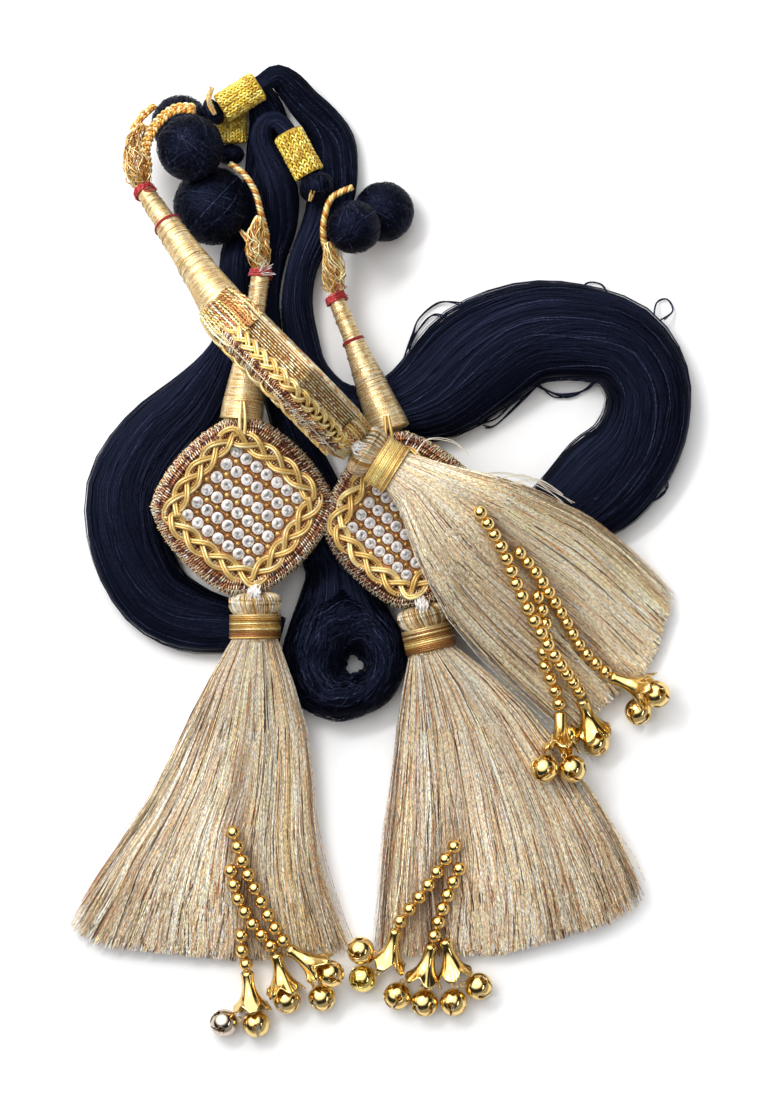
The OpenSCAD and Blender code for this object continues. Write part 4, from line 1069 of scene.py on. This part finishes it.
def add_domes(stuff, m, places, radius, height, colours):
    """Small round bumps on the medallion's face."""
    lat = np.linspace(0, math.pi / 2, 4)
    lon = full_turn(8)
    for place, tint in zip(places, pick(colours, len(places))):
        rings = [
            m.world(place + np.stack([
                np.cos(lon) * radius * math.cos(a),
                np.sin(lon) * radius * math.cos(a),
                np.full(8, height * math.sin(a)),
            ], axis=1))
            for a in lat[:-1]
        ]
        top = m.world(place + np.array([[0, 0, height]]))
        rings.append(np.repeat(top, 8, axis=0) + (rings[-1] - top) * 0.2)
        stuff.rings(rings, tint)


def plait_round_stones(letter):
    """The open plait of satin cord, and the pair of cords that runs from its corner up the cone."""
    m = Medallion(letter)
    stuff = Stuff()
    path = m.border(0, 280)
    path[:, 2] = RIM_Z + 1.2
    braid(stuff, m.world(path), m.aside(path), m.z, 6.8, 1.7, 22.0, YELLOW, 2, 0.48, True)
    for way in (-0.62, 0.62):
        rows = [[way, 22.5, RIM_Z + 1.4], [way * 1.4, 27.0, RIM_Z + 1.6], [way * 0.8, 32.5, RIM_Z + 0.2]]
        pair = smooth_rows(rows, 8)
        stuff.tubes(m.world(pair)[None], 0.54, 6, pick(YELLOW, 1), m.z)
    return stuff


def stones(letter):
    """Round cut stones, each with a table, two rows of facets and its cup."""
    m = Medallion(letter)
    gems, cups = Stuff(), Stuff()
    places = m.grid(6, 7, ROW_PITCH, STONE_PITCH)
    r = STONE_D / 2 * (0.94 if m.squashed else 1.0)
    for place in places:
        spin = rng.uniform(0, TAU)
        lean = rng.normal(size=2) * 0.05
        girdle = spin + full_turn(16)
        mid = spin + (np.arange(8) + 0.5) / 8 * TAU
        table = spin + full_turn(8)

        def level(angles, radius, height):
            flat = np.stack([np.cos(angles) * radius, np.sin(angles) * radius], axis=1)
            return np.column_stack([flat, height + flat @ lean])

        points = np.vstack([
            level(girdle, r * 0.95, 0.3),
            level(mid, r * 0.72, 0.9),
            level(table, r * 0.46, 1.25),
            level(np.zeros(1), 0, 1.15),
        ])
        triangles = []
        for i in range(8):
            j = (i + 1) % 8
            a, b, c = 2 * i, 2 * i + 1, (2 * i + 2) % 16
            kite, nxt, before = 16 + i, 24 + j, 24 + i
            triangles += [
                [a, b, kite], [b, c, kite], [a, kite, before], [kite, c, nxt], [before, kite, nxt], [before, nxt, 32],
            ]
        tint = np.array([STONE]) * vary(0.92, 1.04, 33)
        # painted reflections: the table's corners are darkened at random for sparkle, and its middle is painted dark
        # as the reflection of the dark above
        tint[24:32] *= vary(0.15, 1.0, 8)
        tint[32] = STONE_DARK_REFLECTION
        gems.add(m.world(points + place + [0, 0, PANEL_Z + 0.15]), np.clip(tint, 0, 1), triangles=triangles)
        lon = full_turn(16)
        circle = np.stack([np.cos(lon), np.sin(lon), 0 * lon], axis=1)
        profile = [[r * 1.03, 0.0], [r * 1.05, 0.3], [r * 0.98, 0.42], [r * 0.92, 0.3]]
        cups.rings([
            m.world(place + circle * radius + [0, 0, PANEL_Z + 0.1 + z]) for radius, z in profile
        ], STONE_CUP, caps=False)
    return gems, cups


def stitches(letter):
    """White thread that sews the tassel's head to the medallion's corner."""
    head, hang, mid = HEADS[letter]
    hang = np.array([*hang, 0.0])
    across = np.array([-hang[1], hang[0], 0])
    start = np.array([*head, mid])
    stuff = Stuff()
    for _ in range(20):
        lean = rng.uniform(-2.0, 2.0, 2)
        a = start - hang * rng.uniform(0.6, 3.4) + across * lean[0] + [0, 0, 7.4]
        b = start + hang * rng.uniform(0.6, 2.8) + across * lean[1] + [0, 0, 7.6]
        middle = (a + b) / 2 + across * rng.uniform(-0.8, 0.8) + [0, 0, 1.4]
        stuff.tubes(smooth_rows([a, middle, b], 5)[None], 0.3, 4, pick(WHITE, 1))
    return stuff


# ---------------------------------------------------------------- tassels

def tassel(letter, strands, locks):
    """Head, neck and thousands of fine flat threads that fan out in locks."""
    head, hang, mid = HEADS[letter]
    start = np.array([*head, mid])
    hang = unit([*hang, 0.0])
    across = np.array([-hang[1], hang[0], 0.0])
    up = np.array([0, 0, 1.0])
    stuff = Stuff()

    # the head: threads folded over its top and drawn in at the neck
    profile = smooth_rows([
        [0.1, 0.6], [0.0, 3.2], [0.9, 6.6], [2.4, 7.9], [4.6, 7.9], [6.3, 7.1], [7.2, 6.4], [11.0, 6.4], [15.5, 6.6],
    ], 2)
    count = 88
    a = full_turn(count) + rng.normal(size=count) * 0.012
    swirl = np.linspace(0.35, 0, len(profile))
    paths = []
    for i in range(count):
        turned = wheel(a[i] + swirl, across, up)
        paths.append(start + profile[:, :1] * hang + (profile[:, 1:] + rng.uniform(-0.06, 0.06)) * turned)
    tints = pick(FRINGE[:3] + FRINGE[:1] + BRONZE[:1], count)[:, None]
    tints = tints * rng.uniform(0.6, 1.25, (count, len(profile), 1))
    stuff.tubes(np.array(paths), 0.33, 3, np.clip(tints, 0, 1), hang)
    lon = full_turn(24)
    ring = wheel(lon, across, up)
    stuff.rings([start + hang * (s + 0.3) + ring * max(r - 0.3, 0.2) for s, r in profile], BRONZE[0])

    def parting(c, sn, row):
        """What is left of the upper side's height where the fan parts."""
        return np.where(sn > 0, 1 - row[..., 7] * np.exp(-((c - row[..., 6]) / 0.22) ** 2), 1)

    # the fan
    neck = start + hang * FAN_START
    first = [*(neck - across * NECK_R)[:2], *(neck + across * NECK_R)[:2], mid - NECK_R, mid + NECK_R, 0, 0]
    table = smooth_rows([first] + FANS[letter], 8)
    # a dark inner body, painted shade between the threads, a little short of the tips
    inner = []
    for t in np.linspace(0.0, 0.9, 22):
        row = rows_at(table, t)
        left, right = np.array([*row[:2], 0]), np.array([*row[2:4], 0])
        centre = (left + right) / 2 + up * (row[4] + row[5]) / 2
        tall = (row[5] - row[4]) / 2 * 0.8 * (1 - 0.35 * max(0, t - 0.6))
        side = (right - left) / 2 * (0.9 - 0.14 * t)
        c = np.cos(lon)
        parted = parting(c, np.sin(lon), row)
        inner.append(centre + c[:, None] * side + (np.sin(lon) * parted * tall)[:, None] * up)
    stuff.rings(inner, FAN_SHADE_CORE)

    k = 8
    s = np.linspace(0, 1, k)[None]
    top = rng.uniform(size=strands) < 0.76
    angle = np.where(top, 1, -1) * np.arccos(rng.uniform(-1, 1, strands))
    lock_angle = np.linspace(0, TAU, locks, endpoint=False) + rng.uniform(-0.08, 0.08, locks)
    gap = np.angle(np.exp(1j * (lock_angle[None] - angle[:, None])))
    own = np.argmin(np.abs(gap), axis=1)
    pull = gap[np.arange(strands), own][:, None] * 0.24 * np.sin(math.pi * s**0.8)
    drift = rng.normal(size=(strands, 1)) * np.where(chance(strands, 0.12), 0.3, 0.08)
    theta = angle[:, None] + pull + (wander(locks, k, 2, 0.018)[own] + wander(strands, k, 3, 0.012) + drift) * s
    c, sn = np.cos(theta), np.sin(theta)
    ends = np.array(FAN_ENDS[letter])
    reach = np.interp(c[:, -1:], ends[:, 0], ends[:, 1]) + np.minimum(rng.normal(size=(strands, 1)) * 0.038, 0.06)
    reach = np.where(chance(strands, 0.12), reach * vary(0.7, 0.98, strands), reach)
    depth = 1.0 - np.abs(rng.normal(size=(strands, 1))) * 0.06 + wander(strands, k, 3, 0.01)
    depth = depth + np.where(chance(strands, 0.09), vary(0, 0.07, strands), 0.0) * s
    rows = rows_at(table, s * reach)
    left = np.stack([rows[..., 0], rows[..., 1], 0 * rows[..., 0]], axis=-1)
    right = np.stack([rows[..., 2], rows[..., 3], 0 * rows[..., 0]], axis=-1)
    parted = parting(c, sn, rows)
    half = np.maximum(rows[..., 5] - rows[..., 4], 2.0) / 2
    paths = (left + right) / 2 + (right - left) / 2 * (c * depth)[..., None]
    lift = (rows[..., 5] + rows[..., 4]) / 2 + sn * half * parted * depth
    paths = paths + up * np.maximum(lift, 0.25)[..., None]
    facing = up * (sn + 0.15)[..., None] + (right - left) / 60 * c[..., None]
    facing = unit(facing + tilt(strands, 0.45))
    # threads of one lock share some of their colour, and each glitters along its length
    lock_tone = rng.uniform(0.8, 1.15, locks)[own][:, None, None]
    tints = pick(FRINGE, strands, FRINGE_SHARES[letter])[:, None] * lock_tone * rng.uniform(0.8, 1.2, (strands, k, 1))
    # painted shade: the upper threads darken in the crease where the fan parts
    groove = np.exp(-((c - rows[..., 6]) / 0.1) ** 2) * np.minimum(rows[..., 7] * 2.2, 0.8) * (sn > 0)
    tints = tints * (1 - groove[..., None] * [0.75, 0.85, 0.9])
    stuff.ribbons(paths, vary(0.16, 0.36, strands), facing, np.clip(tints, 0, 1))
    return stuff


def binding(letter):
    """Turns of wire round the tassel's neck."""
    head, hang, mid = HEADS[letter]
    start = np.array([*head, mid])
    hang = unit([*hang, 0.0])
    stuff = Stuff()
    shape = np.array([[0, NECK_R + 0.3], [40, NECK_R + 0.3]])
    colours = YELLOW + BRONZE[:1] if letter == "b" else BRONZE + BRONZE[2:] + COPPER[:1] + PALE_GOLD[:1]
    path = helix_on(shape, start, hang, *BINDING_SPAN, 0.62, 0.8)
    path = path + wander(1, len(path), 9, 0.04)[0][:, None] * hang
    turns = pick(colours, len(path) // 10 + 2, spread=0.3)
    at = np.arange(len(path)) / 10
    tints = np.stack([np.interp(at, np.arange(len(turns)), turns[:, i]) for i in range(3)], axis=1)
    stuff.tubes(path[None], 0.33, 5, tints[None], hang)
    lon = full_turn(32)
    x, y, z = basis(hang)
    ring = wheel(lon, x, y)
    profile = [[7.2, 6.85], [7.2, 7.5], [14.8, 7.5], [14.8, 6.85]]
    stuff.rings([start + z * at + ring * r for at, r in profile], BRONZE[2], caps=False)
    return stuff


# ---------------------------------------------------------------- caps and bells

def cap(stuff, top, mouth):
    """A trumpet of thin sheet whose mouth is cut into petals."""
    top, mouth = np.asarray(top, float), np.asarray(mouth, float)
    x, y, z = basis(mouth - top)
    petals, around = 5, 60
    lon = full_turn(around)
    wave = 0.5 + 0.5 * np.cos(petals * lon + rng.uniform(0, TAU))
    profile = [
        [-0.4, 1.0], [-0.4, 1.8], [0.2, 2.2], [0.9, 2.1], [2.6, 1.95], [4.2, 2.05], [5.6, 2.4], [7.2, 3.1],
        [8.8, 4.0], [10.2, 5.0], [11.4, 5.8], [12.6, 6.4],
    ]
    rings = []
    for at, r in profile:
        share = max(0.0, (at - 6.0) / 6.2)
        back = share**2 * 2.6 * (1 - wave) ** 1.5
        radius = r * (1 - 0.14 * share * (1 - wave))
        fluted = radius * (1 + 0.03 * share * np.cos(3 * petals * lon))
        rings.append(top + np.outer(at - back, z) + fluted[:, None] * wheel(lon, x, y))
    inside = [ring - (ring - (top + z * at)) * 0.07 - z * 0.05 for ring, (at, r) in zip(rings[::-1], profile[::-1])]
    stuff.rings(rings + inside[:-1], CAP_GOLD, caps=False)


def bell_template():
    """A thin ball with a crossed slot that ends in round holes, open end towards +Z."""
    rows, around = 21, 32
    polar = np.linspace(0.02, math.pi - 0.02, rows)
    lon = full_turn(around)
    mesh = bpy.data.meshes.new("bell_shell")
    points, faces = [], []
    for p in polar:
        for l in lon:
            wide = BELL_R * math.sin(p)
            points.append((wide * math.cos(l), wide * math.sin(l), BELL_R * math.cos(p)))
    for i in range(rows - 1):
        for j in range(around):
            k = (j + 1) % around
            faces.append((i * around + j, (i + 1) * around + j, (i + 1) * around + k, i * around + k))
    faces.append(tuple(range(around)))
    faces.append(tuple(reversed(range((rows - 1) * around, rows * around))))
    mesh.from_pydata(points, [], faces)
    mesh.update()
    shell = linked("bell_shell", mesh)
    inner = mesh.copy()
    for vertex in inner.vertices:
        vertex.co *= 0.9
    cutters = [linked("bell_hollow", inner)]
    for turn in (0, math.pi / 2):
        bpy.ops.mesh.primitive_cube_add(size=1)
        slab = bpy.context.object
        slab.scale = (BELL_R * 1.5, 1.0, BELL_R)
        slab.location = (0, 0, BELL_R * 0.5 + 1.5)
        slab.rotation_euler = (0, 0, turn)
        cutters.append(slab)
        bpy.ops.mesh.primitive_cylinder_add(vertices=16, radius=1.15, depth=BELL_R * 3)
        hole = bpy.context.object
        hole.location = (0, 0, 1.6)
        hole.rotation_euler = (math.pi / 2, 0, turn)
        cutters.append(hole)
    bpy.context.view_layer.update()
    for cutter in cutters:
        cut = shell.modifiers.new("cut", "BOOLEAN")
        cut.operation = "DIFFERENCE"
        cut.object = cutter
        cut.solver = "EXACT"
    result = bpy.data.meshes.new_from_object(shell.evaluated_get(bpy.context.evaluated_depsgraph_get()))
    result.calc_loop_triangles()
    points = np.empty(len(result.vertices) * 3)
    result.vertices.foreach_get("co", points)
    corners = np.empty(len(result.loop_triangles) * 3, dtype=np.int32)
    result.loop_triangles.foreach_get("vertices", corners)
    for thing in cutters + [shell]:
        bpy.data.objects.remove(thing, do_unlink=True)
    return points.reshape(-1, 3), corners.reshape(-1, 3)


def ball_middles(name):
    """The middle of each separate ball of a CAD node, in millimetres."""
    mesh = bpy.data.objects[name].data
    points = np.empty(len(mesh.vertices) * 3)
    mesh.vertices.foreach_get("co", points)
    turned = np.array(bpy.data.objects[name].matrix_world)
    points = points.reshape(-1, 3) @ turned[:3, :3].T + turned[:3, 3]
    spots, same = np.unique(np.round(points, 6), axis=0, return_inverse=True)
    edges = np.empty(len(mesh.edges) * 2, dtype=np.int32)
    mesh.edges.foreach_get("vertices", edges)
    edges = same.reshape(-1)[edges].reshape(-1, 2)
    group, before = np.arange(len(spots)), None
    while before is None or (before != group).any():
        before = group.copy()
        low = np.minimum(group[edges[:, 0]], group[edges[:, 1]])
        np.minimum.at(group, edges[:, 0], low)
        np.minimum.at(group, edges[:, 1], low)
    balls = [spots[group == g] for g in np.unique(group)]
    return np.array([(ball.min(axis=0) + ball.max(axis=0)) / 2 for ball in balls]) / MM


def beads(name):
    """Polished balls, flat where the string goes in, strung in the place of the model's balls."""
    middles = ball_middles(name)
    gaps = np.linalg.norm(middles[:, None] - middles[None], axis=-1) + 99 * np.eye(len(middles))
    stuff = Stuff()
    polar = np.linspace(0.2, math.pi - 0.2, 12)
    lon = full_turn(16)
    for middle, neighbour in zip(middles, middles[gaps.argmin(axis=1)]):
        x, y, z = basis(neighbour - middle)
        around = wheel(lon, x, y)
        rings = [middle + z * math.cos(p) * BEAD_R + around * math.sin(p) * BEAD_R for p in polar]
        stuff.rings(rings, BEAD_GOLD)
    return stuff


def bells(letter, template):
    """The drop's bells with their lugs, each turned its own way."""
    points, triangles = template
    stuff = Stuff()
    for i, (centre, facing) in enumerate(BELLS[letter]):
        x, y, z = basis(facing)
        spin = rng.uniform(0, math.pi / 2)
        turned = points @ np.array([
            [math.cos(spin), -math.sin(spin), 0], [math.sin(spin), math.cos(spin), 0], [0, 0, 1],
        ])
        placed = np.asarray(centre) + turned @ np.stack([x, y, z])
        stuff.add(placed, BELL_TINTS.get((letter, i), BELL_GOLD), triangles=triangles)
        lug = np.asarray(centre) - z * (BELL_R + 0.55)
        a = full_turn(14)
        loop = lug + np.outer(np.cos(a), z) * 0.75 + np.outer(np.sin(a), x) * 0.75
        stuff.tubes(loop[None], 0.24, 6, LUG_GOLD, y, closed=True)
    return stuff


# ---------------------------------------------------------------- the pieces

def camera_and_light():
    """Straight down from far above, as the photograph was framed, under a large soft light from the upper left."""
    photo_metres, photo_w, photo_h = 0.34625, 780, 1108
    origin_x, origin_y, px_per_mm = 387, 551, 3.2
    sensor, distance = 24, 3.0
    data = bpy.data.cameras.new("camera")
    data.sensor_fit = "VERTICAL"
    data.sensor_height = sensor
    data.lens = sensor * distance / photo_metres
    data.clip_end = 50
    camera = linked("camera", data)
    camera.location = (
        (photo_w / 2 - origin_x) / px_per_mm * MM, (origin_y - photo_h / 2) / px_per_mm * MM, distance,
    )
    bpy.context.scene.camera = camera

    def softbox(name, where, size, power):
        light = bpy.data.lights.new(name, "AREA")
        light.shape = "RECTANGLE"
        light.size, light.size_y = size
        light.energy = power
        thing = linked(name, light)
        thing.location = where
        aim = -np.asarray(where)
        thing.rotation_euler = (math.atan2(math.hypot(aim[0], aim[1]), -aim[2]), 0, math.atan2(aim[0], -aim[1]))

    softbox("key", (-0.55, 0.6, 1.05), (0.5, 0.5), 25)
    softbox("fill", (0.8, -0.3, 0.9), (0.5, 0.8), 11)
    world = bpy.data.worlds.new("studio")
    bpy.context.scene.world = world
    world.use_nodes = True
    tree = world.node_tree
    towards_light = (-0.36, 0.5, 0.79)
    where = shader_node(tree, "TexCoord").outputs["Generated"]
    facing = shader_node(tree, "VectorMath", {0: where, 1: towards_light}, operation="DOT_PRODUCT")
    ramp = shader_node(tree, "ValToRGB", {"Fac": facing.outputs["Value"]})
    ramp.color_ramp.interpolation = "EASE"
    stops = [(0.0, 0.45), (0.12, 0.04), (0.56, 0.03), (0.68, 0.9), (0.8, 2.2), (0.92, 2.5)]
    while len(ramp.color_ramp.elements) < len(stops):
        ramp.color_ramp.elements.new(0.5)
    for element, (at, level) in zip(ramp.color_ramp.elements, stops):
        element.position = at
        element.color = (level, level, level, 1)
    set_inputs(tree, tree.nodes["Background"], {"Color": ramp.outputs["Color"], "Strength": 0.9})
    bpy.context.scene.view_settings.view_transform = "Standard"

    bpy.ops.mesh.primitive_plane_add(size=8)
    floor = bpy.context.object
    floor.name = "floor"
    paper = bpy.data.materials.new("paper")
    paper.use_nodes = True
    tree = paper.node_tree
    set_inputs(tree, tree.nodes["Principled BSDF"], {"Base Color": PAPER, "Roughness": 0.8})
    floor.data.materials.append(paper)


def dress(stuff, node, look, material, slot, flat=False):
    """The piece that stands for a CAD node, named after it."""
    return stuff.piece(f"{node}_{look}", material, slot, node, flat=flat)


def build():
    camera_and_light()

    def threads(stuff, node):
        dress(stuff, node, "threads", BLACK_THREAD, "black_thread")

    threads(skein(SKEIN_A, 290, 5, 3), "skein_a")
    threads(loose_loops(skein(SKEIN_B, 360, 5, 4), STRAYS, BLACKS, 0.24), "skein_b")
    threads(skein(SKEIN_C, 230, 4, 3), "skein_c")
    threads(hair_knot(), "hair_knot")
    for node, ball in BALLS.items():
        threads(wound_ball(*ball, 150 if node.startswith("knot") else 350), node)

    for letter in "abc":
        dress(collar(*COLLARS[letter]), f"collar_{letter}", "knit", SATIN_CORD, "knitted_collar")
        dress(cords(letter), f"cords_{letter}", "twist", SATIN_CORD, "orange_cord")
        dress(cone(letter), f"cone_{letter}", "winding", METAL_THREAD, "wound_thread")
        dress(ties(letter), f"tie_{letter}", "thread", SOFT_THREAD, "red_thread")
        body, trim = medallion_body(letter)
        padded = dress(body, f"medallion_{letter}", "body", METAL_THREAD, "medallion_gimp")
        trim.piece(f"medallion_{letter}_gimp", METAL_THREAD, "medallion_gimp")
        dress(plait_round_stones(letter), f"plait_{letter}", "strands", SATIN_CORD, "yellow_plait")
        gems, cups = stones(letter)
        dress(gems, f"stones_{letter}", "cut", CRYSTAL, "clear_stones", flat=True)
        cups.piece(f"stones_{letter}_cups", GOLD_METAL, "gold_metal")
        stitches(letter).piece(f"stitches_{letter}", SOFT_THREAD, "bead_thread")
        fringe = tassel(letter, 4800, 44)
        if letter == "b":
            loose_loops(fringe, PALE_STRAYS, FRINGE[2:3], 0.13)
        dress(fringe, f"tassel_{letter}", "fringe", FRINGE_THREAD, "tassel_thread")
        dress(binding(letter), f"binding_{letter}", "wire", METAL_THREAD, "binding_wire")
        sheet_caps = Stuff()
        for top, mouth in CAPS[letter]:
            cap(sheet_caps, top, mouth)
        dress(sheet_caps, f"caps_{letter}", "petals", GOLD_METAL, "gold_metal")

    template = bell_template()
    for letter in "abc":
        dress(bells(letter, template), f"bells_{letter}", "slotted", GOLD_METAL, "gold_metal")
        # the CAD's own bead threads stay visible, in the scene's gold
        bead_threads = bpy.data.objects[f"threads_{letter}"].data
        bead_threads.materials.clear()
        bead_threads.materials.append(SOFT_GOLD)
    for node in sorted(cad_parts):
        if node.startswith("beads_"):
            dress(beads(node), node, "polished", GOLD_METAL, "gold_metal")


build()
